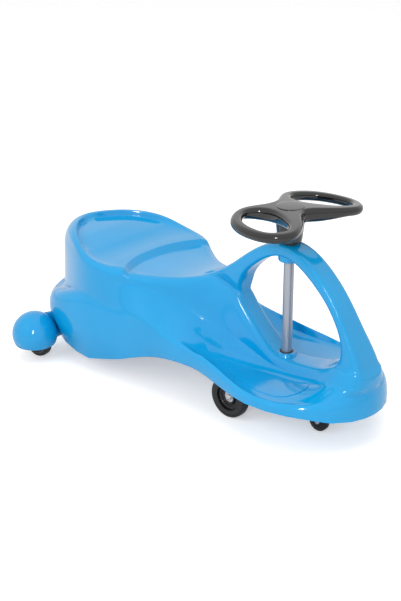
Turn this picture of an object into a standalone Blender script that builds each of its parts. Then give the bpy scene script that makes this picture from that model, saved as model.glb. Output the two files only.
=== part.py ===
"""Twist-drive ride-on car for a child.

A hollow moulded body carries a seat at the back and a round foot deck at the front.
An arch stands over the deck. A steering column runs down through the arch and the deck
to a carriage with two large wheels behind the column and two small wheels ahead of it,
which keep the car from tipping. Swinging the steering wheel swings the carriage and
drives the car along. Two fixed wheels run in round covers at the back.

Units are metres. X points forward, Y to the left and Z up. The ground is Z = 0.
"""
import math

import bmesh
import bpy
import numpy as np
from mathutils import Euler, Matrix, Vector

# Main layout
COLUMN_X = 0.1891            # steering axis ahead of the middle of the car
WHEELBASE = 0.5286           # steering axis to rear axle
REAR_TRACK_HALF = 0.1570     # middle of a rear wheel from the centre plane
NOSE_REACH = 0.204           # nose ahead of the steering axis
TAIL_REACH = 0.585           # tail behind the steering axis

# Body
WALL = 0.0040                # wall of the moulded body
FLOOR_EXTRA = 0.0022         # the foot wells are thicker by this
DECK_HALF_WIDTH = 0.148      # widest half of the round front deck
HAUNCH_HALF_WIDTH = 0.154    # widest half of the bulge beside the seat
SEAT_HALF_WIDTH = 0.1365     # widest half of the seat
SEAT_HEIGHT = 0.245          # crest of the seat rim where the seat is widest
SKIRT_HEIGHT = 0.080         # lower edge of the deck skirt beside the column
FLOOR_HEIGHT = 0.093         # foot wells
BODY_CLEARANCE = 0.030       # ground to the lowest edge of the body
ARCH_HEIGHT = 0.342          # top of the arch at the column
ARCH_HALF_WIDTH = 0.0240     # half the width of the arch
CREST_HEIGHT = 0.1175        # ridge between the foot wells, at the column

# Steering column and its bearings
COLUMN_R = 0.0095
COLUMN_WALL = 0.0015
BUSH_WALL = 0.0030
BUSH_FLANGE_R = 0.0165
BUSH_FLANGE = 0.0045
BUSH_SEAT = 0.0033           # flange of the upper bush let into the top of the arch
LOWER_FLANGE = 0.0020
WASHER_THICK = 0.0012
COLLAR_R = 0.0200            # collars of the body round both bushes
LOWER_COLLAR_TOP = 0.1245
LOWER_COLLAR_BOTTOM = 0.0880
UPPER_COLLAR_BOTTOM = 0.3050
RUN_GAP = 0.0003             # clearance between pieces that touch

# Steering wheel
WHEEL_TOP = 0.4060           # flat top at the hub
WHEEL_DEPTH = 0.0250
WHEEL_DROOP = 0.0080         # outer ends of the loops lie this much lower
WHEEL_EDGE = 0.0060          # rounding of the rim's edges
WHEEL_REACH = 0.1300         # outer end of a loop from the steering axis
NECK_TOP_R = 0.0270
NECK_BOTTOM_R = 0.0225
CAP_R = 0.0264
CAP_THICK = 0.0050
CAP_PROUD = 0.0034           # cap above the flat top of the steering wheel
CROSS_BOLT_R = 0.0025        # bolts through the column, one in each hub
CROSS_HEAD_R = 0.0048
CROSS_HEAD = 0.0030
WHEEL_BOLT_Z = 0.3600
CARRIAGE_BOLT_Z = 0.0700

# Front carriage
FRONT_WHEEL_R = 0.0410
FRONT_WHEEL_WIDTH = 0.0198
FRONT_TRACK_HALF = 0.0872
FRONT_TRAIL = 0.0616         # front axle behind the steering axis
TIP_WHEEL_R = 0.0199
TIP_WHEEL_WIDTH = 0.0127
TIP_TRACK_HALF = 0.0223
TIP_LEAD = 0.0991            # small axle ahead of the steering axis
TIP_RAISE = 0.0037           # small wheels above the ground
AXLE_R = 0.0040
TIP_AXLE_R = 0.0030
BEARING_R = 0.0110
BEARING_WIDTH = 0.0070
AXLE_TUBE_R = 0.0085
TIP_TUBE_R = 0.0070
PLATE_TOP = 0.0640
PLATE_THICK = 0.0050
CARRIAGE_HUB_R = 0.0160
CARRIAGE_HUB_BOTTOM = 0.0520
ARM_HALF_WIDTH = 0.0100
WEB_THICK = 0.0050
NUT_R = 0.0062
NUT_THICK = 0.0040
WHEEL_GAP = 0.0008           # side clearance of every wheel

# Rear wheels, their covers and the beam that joins them
REAR_WHEEL_R = 0.0340
REAR_WHEEL_WIDTH = 0.0180
REAR_PIN_R = 0.0040
PIN_BOSS_R = 0.0085
PIN_HEAD_R = 0.0062
PIN_HEAD = 0.0020
COVER_R = 0.0463
COVER_OUTSET = 0.0085        # middle of a cover outside the middle of its wheel
COVER_CENTRE_Z = 0.0517
COVER_HEM_Z = 0.0310
COVER_WALL = 0.0032
BEAM_R = 0.0180
BEAM_Z = 0.0550
ARM_HALF_HEIGHT = 0.0290
ARM_HALF_DEPTH = 0.0200
ARM_INNER = 0.0600           # inner end of an arm from the centre plane
POST_R = 0.0075              # posts inside the body that take the beam's screws
POST_SIDE = 0.0430
SCREW_R = 0.0025
SCREW_HEAD_R = 0.0050
SCREW_HEAD = 0.0030
SCREW_GRIP = 0.0080          # beam left above a screw's head
SCREW_BITE = 0.0140          # thread inside the post

ROUND = 24                   # sides of a large turned piece
SMALL_ROUND = 12             # sides of a small one

REAR_AXLE_X = COLUMN_X - WHEELBASE
FRONT_AXLE_X = COLUMN_X - FRONT_TRAIL
TIP_AXLE_X = COLUMN_X + TIP_LEAD
TIP_AXLE_Z = TIP_WHEEL_R + TIP_RAISE
BUSH_R = COLUMN_R + RUN_GAP
BUSH_OUTER_R = BUSH_R + BUSH_WALL
HUB_BOTTOM = WHEEL_TOP - WHEEL_DEPTH
NECK_BOTTOM = ARCH_HEIGHT - BUSH_SEAT + BUSH_FLANGE + RUN_GAP
CAP_BASE = WHEEL_TOP + CAP_PROUD - CAP_THICK
COLUMN_TOP = CAP_BASE - 0.0040
WASHER_TOP = LOWER_COLLAR_BOTTOM - LOWER_FLANGE - 2 * RUN_GAP
CARRIAGE_HUB_TOP = WASHER_TOP - WASHER_THICK - RUN_GAP
COLUMN_BOTTOM = CARRIAGE_HUB_BOTTOM + 0.0020
BEAM_TOP = BEAM_Z + BEAM_R
SCREW_SEAT = BEAM_TOP - SCREW_GRIP
SCREW_TIP = BEAM_TOP + SCREW_BITE
COVER_Y = REAR_TRACK_HALF + COVER_OUTSET
COVER_INNER_R = COVER_R - COVER_WALL
WHEEL_SPACE = REAR_WHEEL_WIDTH / 2 + WHEEL_GAP
BOSS_IN = REAR_TRACK_HALF - 0.036
BOSS_OUT = COVER_Y + math.sqrt(COVER_R ** 2 - (COVER_CENTRE_Z - REAR_WHEEL_R) ** 2) + 0.0005
ALONG_Y = (-math.pi / 2, 0, 0)
ALONG_X = (0, math.pi / 2, 0)


def finish(name, colour, roughness, metallic=0.0):
    """A plain Principled material."""
    mat = bpy.data.materials.new(name)
    mat.use_nodes = True
    shader = mat.node_tree.nodes["Principled BSDF"]
    shader.inputs["Base Color"].default_value = (*colour, 1.0)
    shader.inputs["Roughness"].default_value = roughness
    shader.inputs["Metallic"].default_value = metallic
    return mat


def clear_scene():
    for obj in list(bpy.data.objects):
        bpy.data.objects.remove(obj, do_unlink=True)


def add_object(name, mesh, material=None, location=(0, 0, 0), rotation=(0, 0, 0), parent=None):
    """Link a mesh to the scene under a name, a place and a finish."""
    obj = bpy.data.objects.new(name, mesh)
    bpy.context.collection.objects.link(obj)
    obj.parent = parent
    obj.location = location
    obj.rotation_euler = rotation
    if material is not None:
        mesh.materials.append(material)
    return obj


def add_empty(name, location, parent=None):
    empty = bpy.data.objects.new(name, None)
    bpy.context.collection.objects.link(empty)
    empty.parent = parent
    empty.location = location
    return empty


def mesh_from(verts, faces, smooth_angle=35.0):
    """Closed mesh from points and faces, with its faces turned outwards."""
    mesh = bpy.data.meshes.new("mesh")
    mesh.from_pydata([tuple(map(float, v)) for v in verts], [], faces)
    shape = bmesh.new()
    shape.from_mesh(mesh)
    loose = [v for v in shape.verts if not v.link_faces]
    bmesh.ops.delete(shape, geom=loose, context="VERTS")
    bmesh.ops.recalc_face_normals(shape, faces=shape.faces)
    shape.to_mesh(mesh)
    shape.free()
    mesh.shade_smooth()
    mesh.set_sharp_from_angle(angle=math.radians(smooth_angle))
    return mesh


def turned(profile, sides, closed=True, turn=0.0):
    """Revolve (radius, height) points about local Z.

    A closed profile is a ring's section. An open one starts and ends on the axis.
    The first side starts at a share of one side's angle from local X.
    """
    pts = list(profile) if closed else list(profile)[1:-1]
    count = len(pts)
    verts = []
    for k in range(sides):
        angle = 2 * math.pi * (k + turn) / sides
        verts += [(r * math.cos(angle), r * math.sin(angle), z) for r, z in pts]
    faces = []
    for k in range(sides):
        nxt = (k + 1) % sides
        for i in range(count if closed else count - 1):
            j = (i + 1) % count
            faces.append((k * count + i, nxt * count + i, nxt * count + j, k * count + j))
    if not closed:
        first, last = len(verts), len(verts) + 1
        verts += [(0, 0, profile[0][1]), (0, 0, profile[-1][1])]
        for k in range(sides):
            nxt = (k + 1) % sides
            faces.append((first, nxt * count, k * count))
            faces.append((last, k * count + count - 1, nxt * count + count - 1))
    return mesh_from(verts, faces)


def rod(radius, low, high, sides=SMALL_ROUND, turn=0.0):
    """Solid round bar along local Z."""
    return turned([(0, low), (radius, low), (radius, high), (0, high)], sides, False, turn)


def sleeve(inner, outer, low, high, sides=SMALL_ROUND):
    """Round tube along local Z."""
    return turned([(inner, low), (outer, low), (outer, high), (inner, high)], sides)


def box(size, middle):
    """Rectangular block."""
    shape = bmesh.new()
    bmesh.ops.create_cube(shape, size=1.0)
    bmesh.ops.scale(shape, vec=size, verts=shape.verts)
    bmesh.ops.translate(shape, vec=middle, verts=shape.verts)
    mesh = bpy.data.meshes.new("box")
    shape.to_mesh(mesh)
    shape.free()
    return mesh


def combine(obj, mesh, operation, location=(0, 0, 0), rotation=(0, 0, 0)):
    """Join a mesh to an object, or cut it away, with a Boolean modifier."""
    tool = add_object(obj.name + "_tool", mesh, None, location, rotation, obj.parent)
    tool.hide_render = True
    tool.display_type = "WIRE"
    mod = obj.modifiers.new(operation.lower(), "BOOLEAN")
    mod.operation = operation
    mod.solver = "EXACT"
    mod.object = tool
    return tool


def joined(pieces):
    """One mesh from several separate ones, each given with its place and rotation."""
    shape = bmesh.new()
    for mesh, location, rotation in pieces:
        mesh.transform(Matrix.LocRotScale(Vector(location), Euler(rotation), None))
        shape.from_mesh(mesh)
        bpy.data.meshes.remove(mesh)
    mesh = bpy.data.meshes.new("joined")
    shape.to_mesh(mesh)
    shape.free()
    return mesh


def curve(knots, at):
    """Smooth curve through (position, value) knots that never overshoots them."""
    x = np.array([k[0] for k in knots], float)
    y = np.array([k[1] for k in knots], float)
    h = np.diff(x)
    rise = np.diff(y) / h
    slope = np.zeros_like(y)
    same = rise[:-1] * rise[1:] > 0
    w1, w2 = 2 * h[1:] + h[:-1], h[1:] + 2 * h[:-1]
    safe = np.where(same, rise[:-1], 1.0), np.where(same, rise[1:], 1.0)
    slope[1:-1] = np.where(same, (w1 + w2) / (w1 / safe[0] + w2 / safe[1]), 0.0)
    slope[0], slope[-1] = rise[0], rise[-1]
    at = np.clip(np.asarray(at, float), x[0], x[-1])
    i = np.clip(np.searchsorted(x, at, side="right") - 1, 0, len(h) - 1)
    t = (at - x[i]) / h[i]
    return ((1 + 2 * t) * (1 - t) ** 2 * y[i] + t * (1 - t) ** 2 * h[i] * slope[i]
            + t * t * (3 - 2 * t) * y[i + 1] + t * t * (t - 1) * h[i] * slope[i + 1])


# The body's surface is a net. Its rows are stations along the car, measured from the
# steering axis as shares of the tail's and the nose's reach, and its lines run lengthwise
# from the skirt's lower edge, up the side and over the seat or deck to the middle.
TAIL_ROWS = [0.996, 0.985, 0.959, 0.923, 0.874, 0.812, 0.742, 0.674, 0.614, 0.562, 0.535,
             0.509, 0.460, 0.400, 0.349, 0.297, 0.246, 0.195, 0.152, 0.109, 0.067, 0.015]
NOSE_START = 0.127           # share of the nose's reach where its outline starts to turn in
NOSE_ANGLES = [0, 14, 27, 40, 55, 69, 80, 88]
SEAT_TURN = 0.674            # share of the tail's reach where the seat's outline turns in
LEG_ROWS = ((15, 17), (25, 27))
STEP_ROWS = (10, 11)
STEP_CRISPNESS = (0.75, 0.6)


def stations():
    """Distance of each row from the steering axis, positive towards the nose."""
    tail = [-share * TAIL_REACH for share in TAIL_ROWS]
    start = NOSE_START * NOSE_REACH
    nose = [start + (NOSE_REACH - start) * math.sin(math.radians(a)) for a in NOSE_ANGLES]
    return np.array(tail + nose)


def nose_share(x):
    """How far a station's half width has closed towards the nose: 1 is fully open."""
    start = NOSE_START * NOSE_REACH
    run = np.clip((x - start) / (NOSE_REACH - start), 0, 1)
    return np.sqrt(1 - run ** 2)


def shares(knots):
    """Knots given in shares of the reach turned into distances from the steering axis."""
    return [(k[0] * (TAIL_REACH if k[0] < 0 else NOSE_REACH), k[1]) for k in knots]


def body_net():
    """Half of the body's net: x, half width and height of each line at each row."""
    x = stations()
    closing = nose_share(x)
    wide, seat, haunch = DECK_HALF_WIDTH, SEAT_HALF_WIDTH, HAUNCH_HALF_WIDTH
    low, skirt, floor, crest = BODY_CLEARANCE, SKIRT_HEIGHT, FLOOR_HEIGHT, CREST_HEIGHT

    def at(knots):
        return curve(shares(knots), x)

    # Seat outline seen from above, running on into the waist and the ridge
    plan = at([(-1.0, 0.0), (-0.996, 0.010), (-0.985, 0.029), (-0.959, 0.049), (-0.923, 0.068),
               (-0.874, 0.088), (-0.812, 0.107), (-0.742, 0.125), (-0.674, seat),
               (-0.614, seat), (-0.562, seat - 0.006), (-0.535, seat - 0.016),
               (-0.509, seat - 0.023), (-0.460, 0.0965), (-0.400, 0.074), (-0.349, 0.0575),
               (-0.297, 0.0405), (-0.246, 0.031), (-0.195, 0.0285), (-0.109, 0.027),
               (0.127, 0.027), (0.45, 0.030), (0.68, 0.034), (1.0, 0.034)])
    rim = at([(-1.0, 0.013), (-0.923, 0.017), (-0.874, 0.020), (-0.812, 0.0195),
              (-0.742, 0.011), (-0.674, 0.0), (-0.614, -0.0045), (-0.562, -0.0065),
              (-0.535, -0.0085), (-0.509, -0.0195), (-0.460, -0.0215), (-0.400, -0.0205),
              (-0.349, -0.015), (-0.297, -0.0075)]) + SEAT_HEIGHT
    # Leading edge of the seat, waist and ridge: the middle line from the seat to the nose
    spine = at([(-0.297, 0.2385), (-0.246, 0.236), (-0.195, 0.2055), (-0.152, 0.1650),
                (-0.109, crest + 0.0185), (-0.067, crest + 0.0035), (-0.015, crest),
                (0.127, crest + 0.0015), (0.338, crest + 0.007), (0.524, crest + 0.015),
                (0.688, 0.1510), (0.95, 0.1515), (1.0, 0.1500)])
    ahead = x > -0.297 * TAIL_REACH

    # Lower edge of the skirt
    low_w = at([(-1.0, 0.0), (-0.996, 0.012), (-0.985, 0.034), (-0.959, 0.058),
                (-0.923, 0.080), (-0.874, 0.102), (-0.812, haunch - 0.030),
                (-0.742, haunch - 0.016), (-0.674, haunch - 0.013), (-0.614, haunch - 0.017),
                (-0.535, 0.132), (-0.460, 0.1275), (-0.349, 0.124), (-0.246, 0.124),
                (-0.152, 0.1275), (-0.085, wide - 0.014), (-0.015, wide - 0.005), (0.127, wide - 0.001)])
    low_z = at([(-1.0, low + 0.027), (-0.923, low + 0.022), (-0.812, low + 0.004),
                (-0.742, low), (-0.674, low), (-0.614, low + 0.008), (-0.535, 0.051),
                (-0.460, 0.068), (-0.400, skirt), (-0.297, skirt + 0.010),
                (-0.195, skirt + 0.0125), (-0.144, skirt + 0.0085), (-0.085, skirt + 0.0035),
                (0.03, skirt), (0.37, skirt - 0.0025), (0.65, skirt - 0.005),
                (0.887, skirt - 0.0135), (1.0, skirt - 0.015)])
    # Bulge beside the seat, which runs on as the middle of the skirt
    bulge_w = at([(-1.0, 0.0), (-0.996, 0.013), (-0.985, 0.038), (-0.959, 0.064),
                  (-0.923, 0.090), (-0.874, 0.122), (-0.812, haunch - 0.006),
                  (-0.742, haunch), (-0.674, haunch - 0.002), (-0.614, haunch - 0.007),
                  (-0.535, 0.1395), (-0.460, 0.1345), (-0.349, 0.129), (-0.246, 0.1265),
                  (-0.152, 0.130), (-0.085, wide - 0.012), (-0.015, wide - 0.0035), (0.127, wide)])
    bulge_z = at([(-1.0, 0.105), (-0.742, 0.102), (-0.614, 0.104), (-0.535, 0.112),
                  (-0.460, 0.122), (-0.400, 0.124), (-0.297, 0.119), (-0.195, 0.108),
                  (-0.109, 0.098), (-0.015, skirt + 0.009), (0.127, skirt + 0.007),
                  (0.52, skirt + 0.0045), (0.887, skirt), (1.0, skirt - 0.0005)])
    upper_w = at([(-1.0, 0.0), (-0.996, 0.0125), (-0.985, 0.036), (-0.959, 0.059),
                  (-0.923, 0.081), (-0.874, 0.110), (-0.812, haunch - 0.020),
                  (-0.742, haunch - 0.008), (-0.674, haunch - 0.006), (-0.614, haunch - 0.0085),
                  (-0.535, 0.139), (-0.460, 0.1335), (-0.349, 0.1285), (-0.246, 0.127),
                  (-0.152, 0.1305), (-0.085, wide - 0.012), (-0.015, wide - 0.003), (0.127, wide + 0.0005)])
    upper_z = at([(-1.0, 0.140), (-0.812, 0.143), (-0.742, 0.150), (-0.674, 0.152),
                  (-0.614, 0.148), (-0.535, 0.148), (-0.460, 0.160), (-0.400, 0.153),
                  (-0.297, 0.138), (-0.195, 0.1185), (-0.109, 0.106), (-0.015, skirt + 0.0155),
                  (0.127, skirt + 0.0105), (0.52, skirt + 0.0085), (1.0, skirt + 0.008)])
    # Crease over the bulge, which becomes the outer edge of the deck's rim
    edge_w = at([(-1.0, 0.0), (-0.996, 0.012), (-0.985, 0.031), (-0.959, 0.052),
                 (-0.923, 0.071), (-0.874, 0.092), (-0.812, 0.113), (-0.742, 0.130),
                 (-0.674, seat + 0.004), (-0.614, seat + 0.004), (-0.562, seat),
                 (-0.509, 0.132), (-0.460, 0.1305), (-0.349, 0.128), (-0.246, 0.1265),
                 (-0.152, 0.1295), (-0.085, wide - 0.012), (-0.015, wide - 0.0035), (0.127, wide)])
    edge_z = at([(-1.0, 0.165), (-0.874, 0.162), (-0.812, 0.164), (-0.742, 0.172),
                 (-0.674, 0.175), (-0.614, 0.171), (-0.562, 0.170), (-0.509, 0.181),
                 (-0.460, 0.190), (-0.400, 0.180), (-0.297, 0.157), (-0.246, 0.142),
                 (-0.195, 0.129), (-0.152, 0.1195), (-0.109, 0.1145), (-0.015, floor + 0.008),
                 (0.127, floor + 0.0015), (0.37, floor - 0.0005), (0.65, floor + 0.0005),
                 (1.0, floor + 0.004)])
    brow_w = at([(-0.674, 0.0025), (-0.562, -0.003), (-0.509, -0.005), (-0.460, -0.007),
                 (0.127, -0.0065)]) + edge_w
    brow_z = at([(-0.674, 0.012), (-0.509, 0.012), (-0.460, 0.007), (-0.297, 0.006),
                 (0.127, 0.0045), (1.0, 0.007)]) + edge_z
    # Outer and inner edges of the foot well's floor
    well_w = at([(-0.562, seat - 0.005), (-0.535, 0.127), (-0.509, 0.121), (-0.460, 0.111),
                 (-0.400, 0.104), (-0.349, 0.105), (-0.246, 0.111), (-0.152, 0.117),
                 (-0.067, wide - 0.0225), (0.127, wide - 0.0135)])
    well_z = at([(-1.0, 0.196), (-0.562, 0.199), (-0.509, 0.203), (-0.460, 0.199),
                 (-0.400, 0.183), (-0.349, 0.166), (-0.297, 0.148), (-0.246, 0.129),
                 (-0.195, 0.112), (-0.152, floor + 0.0055), (-0.109, floor + 0.001),
                 (-0.015, floor - 0.0005), (0.37, floor - 0.0005), (0.505, floor + 0.001),
                 (0.65, floor + 0.006), (0.77, floor + 0.013), (1.0, floor + 0.018)])
    foot_w = at([(-0.562, seat - 0.0055), (-0.535, 0.1235), (-0.509, 0.1155), (-0.460, 0.100),
                 (-0.400, 0.082), (-0.349, 0.070), (-0.297, 0.061), (-0.246, 0.053),
                 (-0.195, 0.046), (-0.152, 0.040), (-0.109, 0.036), (-0.067, 0.034),
                 (0.127, 0.034), (0.49, 0.040), (0.75, 0.045), (1.0, 0.045)])
    foot_z = at([(-1.0, 0.212), (-0.562, 0.212), (-0.509, 0.211), (-0.460, 0.204),
                 (-0.400, 0.188), (-0.349, 0.171), (-0.297, 0.151), (-0.246, 0.130),
                 (-0.195, 0.110), (-0.152, floor + 0.0055), (-0.109, floor + 0.0015),
                 (-0.015, floor + 0.0005), (0.127, floor + 0.004), (0.309, floor + 0.010),
                 (0.47, floor + 0.018), (0.62, floor + 0.027), (0.735, floor + 0.029),
                 (1.0, floor + 0.026)])
    behind = x < -0.562 * TAIL_REACH
    well_w = np.where(behind, plan + 0.0015, well_w)
    foot_w = np.where(behind, plan + 0.001, foot_w)
    brow_w = np.where(x < -0.674 * TAIL_REACH, plan + 0.0025, brow_w)

    # Rim of the seat, edge of the pan and shoulder of the ridge
    drop = at([(-1.0, 0.006), (-0.562, 0.006), (-0.349, 0.005), (-0.297, 0.006),
               (-0.246, 0.020), (-0.195, 0.018), (-0.152, 0.018), (-0.109, 0.0115),
               (-0.067, 0.0065), (0.127, 0.0055), (0.524, 0.0055), (0.688, 0.009),
               (0.887, 0.010), (1.0, 0.017)])
    ridge = np.where(ahead, spine, rim)
    rim_w = plan
    rim_z = ridge - drop
    crest_w = plan * at([(-1.0, 0.915), (-0.460, 0.89), (-0.349, 0.83), (-0.297, 0.78),
                         (-0.195, 0.82), (-0.109, 0.76), (1.0, 0.78)])
    crest_z = ridge - drop * at([(-0.562, 0.0), (-0.349, 0.1), (-0.246, 0.33), (1.0, 0.36)])
    pad_w = plan * at([(-1.0, 0.81), (-0.535, 0.81), (-0.460, 0.77), (-0.349, 0.65),
                       (-0.297, 0.53), (-0.246, 0.58), (-0.109, 0.60), (1.0, 0.62)])
    recess = at([(-1.0, 0.013), (-0.923, 0.0155), (-0.812, 0.0165), (-0.742, 0.013),
                 (-0.674, 0.0065), (-0.614, 0.0035), (-0.562, 0.0015), (-0.535, 0.000),
                 (-0.509, 0.004), (-0.460, -0.001), (-0.297, 0.0005), (-0.109, 0.001), (1.0, 0.001)])
    pad_z = ridge - recess
    mid_w = plan * at([(-1.0, 0.40), (-0.400, 0.40), (-0.297, 0.20), (1.0, 0.20)])
    mid_z = pad_z + at([(-1.0, 0.0), (-0.349, 0.0), (-0.195, 0.0005), (1.0, 0.0005)])
    middle_w = 0.5 * (foot_w + rim_w)
    middle_z = 0.5 * (foot_z + rim_z)
    lower_w = 0.5 * (low_w + bulge_w) + 0.001
    lower_z = 0.5 * (low_z + bulge_z)

    # Lines from the skirt to the middle: half width, height, how fast the nose closes
    # them, and their reach at the tail and nose short of the full reach
    lines = [(low_w, low_z, 1.0, 0.002, 0.0), (lower_w, lower_z, 1.0, 0.001, 0.0),
             (bulge_w, bulge_z, 1.0, 0.000, 0.0005), (upper_w, upper_z, 1.0, 0.001, 0.002),
             (edge_w, edge_z, 1.0, 0.003, 0.005), (brow_w, brow_z, 1.0, 0.004, 0.010),
             (well_w, well_z, 1.25, 0.005, 0.0135), (foot_w, foot_z, 0.35, 0.0055, 0.016),
             (middle_w, middle_z, 0.38, 0.006, 0.018), (rim_w, rim_z, 0.42, 0.0065, 0.020),
             (crest_w, crest_z, 0.45, 0.019, 0.022), (pad_w, pad_z, 0.45, 0.034, 0.0235),
             (mid_w, mid_z, 0.45, 0.065, 0.0245)]
    net = np.empty((len(x), len(lines), 3))
    turn, start = -SEAT_TURN * TAIL_REACH, NOSE_START * NOSE_REACH
    for i, (w, z, power, short_tail, short_nose) in enumerate(lines):
        back = turn + (x - turn) * (TAIL_REACH + turn - short_tail) / (TAIL_REACH + turn)
        front = start + (x - start) * (NOSE_REACH - start - short_nose) / (NOSE_REACH - start)
        net[:, i, 0] = np.where(x < turn, back, np.where(x > start, front, x))
        net[:, i, 1] = w * closing ** power
        net[:, i, 2] = z
    # The step across the seat is an arc that bows backwards between its ends
    for row in STEP_ROWS:
        for i in (10, 11, 12):
            share = net[row, i, 1] / net[row, 9, 1]
            net[row, i, 0] -= 0.042 * (1 - share ** 2)
    # the pad behind the step makes room for the bow
    for row, give in ((9, 0.038), (8, 0.024), (7, 0.011), (12, 0.026), (13, 0.010)):
        for i in (10, 11, 12):
            share = net[row, i, 1] / net[row, 9, 1]
            net[row, i, 0] -= give * (1 - share ** 2)
    return net


# Side view of the arch: outer and inner edge, ahead of the steering axis, and height
# below the top of the arch, from the seat over the column to the nose
ARCH_OUTER = [(-0.142, 0.084), (-0.117, 0.066), (-0.092, 0.045), (-0.064, 0.0235),
              (-0.032, 0.006), (0.000, 0.000), (0.037, 0.008), (0.067, 0.026), (0.092, 0.047),
              (0.115, 0.072), (0.135, 0.101), (0.151, 0.131), (0.164, 0.159)]
ARCH_INNER = [(-0.106, 0.120), (-0.1025, 0.097), (-0.085, 0.075), (-0.056, 0.049),
              (-0.029, 0.0315), (0.000, 0.0235), (0.029, 0.029), (0.056, 0.046),
              (0.078, 0.064), (0.101, 0.085), (0.120, 0.110), (0.136, 0.137), (0.142, 0.161)]
FACE_SHARES = (-1.0, -0.42, 0.42, 1.0)


def body_mesh(with_arch):
    """Mesh of the body's net, closed below, with or without the arch over the deck."""
    net = body_net()
    rows, lines = net.shape[:2]
    verts = []
    for j in range(rows):
        right = [(COLUMN_X + p[0], -p[1], p[2]) for p in net[j]]
        left = [(COLUMN_X + p[0], p[1], p[2]) for p in net[j][::-1]]
        verts += right + left
    width = 2 * lines

    def open_for_leg(j, i):
        spans = any(first <= j < last for first, last in LEG_ROWS)
        return with_arch and spans and lines - 2 <= i <= lines

    faces = []
    for j in range(rows - 1):
        for i in range(width):
            if open_for_leg(j, i):
                continue
            k = (i + 1) % width
            faces.append((j * width + i, j * width + k, (j + 1) * width + k, (j + 1) * width + i))
    for j in (0, rows - 1):
        for i in range(lines - 1):
            far = width - 1 - i
            faces.append((j * width + i, j * width + i + 1, j * width + far - 1, j * width + far))
    if with_arch:
        def rim_of(outer, inner):
            span = [lines - 2, lines - 1, lines, lines + 1]
            mid = (outer + inner) // 2
            loop = [outer * width + i for i in span] + [mid * width + span[3]]
            return loop + [inner * width + i for i in span[::-1]] + [mid * width + span[0]]

        loops = [rim_of(*LEG_ROWS[0])]
        for (xo, zo), (xi, zi) in zip(ARCH_OUTER, ARCH_INNER):
            base = len(verts)
            half = ARCH_HALF_WIDTH
            for share in FACE_SHARES:
                verts.append((COLUMN_X + xo, share * half, ARCH_HEIGHT - zo))
            verts.append((COLUMN_X + (xo + xi) / 2, half + 0.001, ARCH_HEIGHT - (zo + zi) / 2))
            for share in FACE_SHARES[::-1]:
                verts.append((COLUMN_X + xi, share * half, ARCH_HEIGHT - zi))
            verts.append((COLUMN_X + (xo + xi) / 2, -half - 0.001, ARCH_HEIGHT - (zo + zi) / 2))
            loops.append(list(range(base, base + 10)))
        loops.append(rim_of(*LEG_ROWS[1][::-1]))
        for a, b in zip(loops[:-1], loops[1:]):
            for i in range(10):
                k = (i + 1) % 10
                faces.append((a[i], a[k], b[k], b[i]))
    return net_mesh(verts, faces, crisp_edges(rows, lines))


def crisp_edges(rows, lines):
    """Edges that stay crisp when smoothed: the skirt's lower edge and the step."""
    width = 2 * lines
    crisp = {}
    for j in range(rows):
        for i in (0, width - 1):
            if j + 1 < rows:
                crisp[(j * width + i, (j + 1) * width + i)] = 1.0
    for j in (0, rows - 1):
        crisp[(j * width, j * width + width - 1)] = 1.0
    for row, weight in zip(STEP_ROWS, STEP_CRISPNESS):
        for i in range(lines - 4, lines + 3):
            crisp[(row * width + i, row * width + i + 1)] = weight
    return crisp


def net_mesh(verts, faces, crisp):
    """Closed mesh from a net of points, with creases for the smoothing that follows."""
    shape = bmesh.new()
    points = [shape.verts.new(v) for v in verts]
    for face in faces:
        shape.faces.new([points[i] for i in face])
    layer = shape.edges.layers.float.new("crease_edge")
    for (a, b), weight in crisp.items():
        edge = shape.edges.get((points[a], points[b]))
        if edge is not None:
            edge[layer] = weight
    bmesh.ops.delete(shape, geom=[v for v in shape.verts if not v.link_faces], context="VERTS")
    bmesh.ops.recalc_face_normals(shape, faces=shape.faces)
    mesh = bpy.data.meshes.new("net")
    shape.to_mesh(mesh)
    shape.free()
    mesh.shade_smooth()
    return mesh


def smoothed(obj, levels):
    """Subdivide and smooth an object."""
    mod = obj.modifiers.new("smooth", "SUBSURF")
    mod.levels = levels
    mod.render_levels = levels
    return mod


def cavity_mesh():
    """Inside of the body: its smoothed net moved in by the wall and let down below it."""
    outer = add_object("body_inside", body_mesh(with_arch=False))
    smoothed(outer, 1)
    bpy.context.view_layer.update()
    fine = outer.evaluated_get(bpy.context.evaluated_depsgraph_get()).to_mesh()
    count = len(outer.data.vertices)
    points = [v.co - v.normal * WALL for v in fine.vertices[:count]]
    inner = outer.data.copy()
    rows, lines = body_net().shape[:2]
    width = 2 * lines
    for j in range(rows):
        for side in (0, 1):
            at = [j * width + (width - 1 - i if side else i) for i in range(lines)]
            hem = points[at[0]]
            points[at[0]] = Vector((hem.x, hem.y * 0.985, hem.z - 0.02))
            for i in (6, 7, 8):
                # the wide facets of the foot wells sag below the smooth floor
                points[at[i]].z -= FLOOR_EXTRA
            if j >= LEG_ROWS[0][0]:
                # the rim of the deck stays solid
                points[at[4]] = points[at[3]].lerp(points[at[6]], 0.33)
                points[at[5]] = points[at[3]].lerp(points[at[6]], 0.67)
    # the blunt tip of the nose leaves no room for the last row's folds
    last, before = (rows - 1) * width, (rows - 2) * width
    for i in range(lines - 3, lines + 3):
        side = lines - 4 if i < lines else lines + 3
        points[last + i] = points[last + side].lerp(points[before + i], 0.6)
    for n, point in enumerate(points):
        inner.vertices[n].co = point
    bpy.data.objects.remove(outer, do_unlink=True)
    return inner


def screw_places():
    return [(REAR_AXLE_X, side * POST_SIDE) for side in (-1, 1)]


def arm_bar(side, extra):
    """Oval bar along Y that carries the rear cover of one side."""
    ends = sorted((side * (ARM_INNER - extra), side * (COVER_Y - COVER_INNER_R * 0.80)))
    mesh = rod(1.0, ends[0], ends[1], ROUND)
    for v in mesh.vertices:
        v.co.x *= ARM_HALF_DEPTH + extra
        v.co.y *= ARM_HALF_HEIGHT + extra
    return mesh


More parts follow.
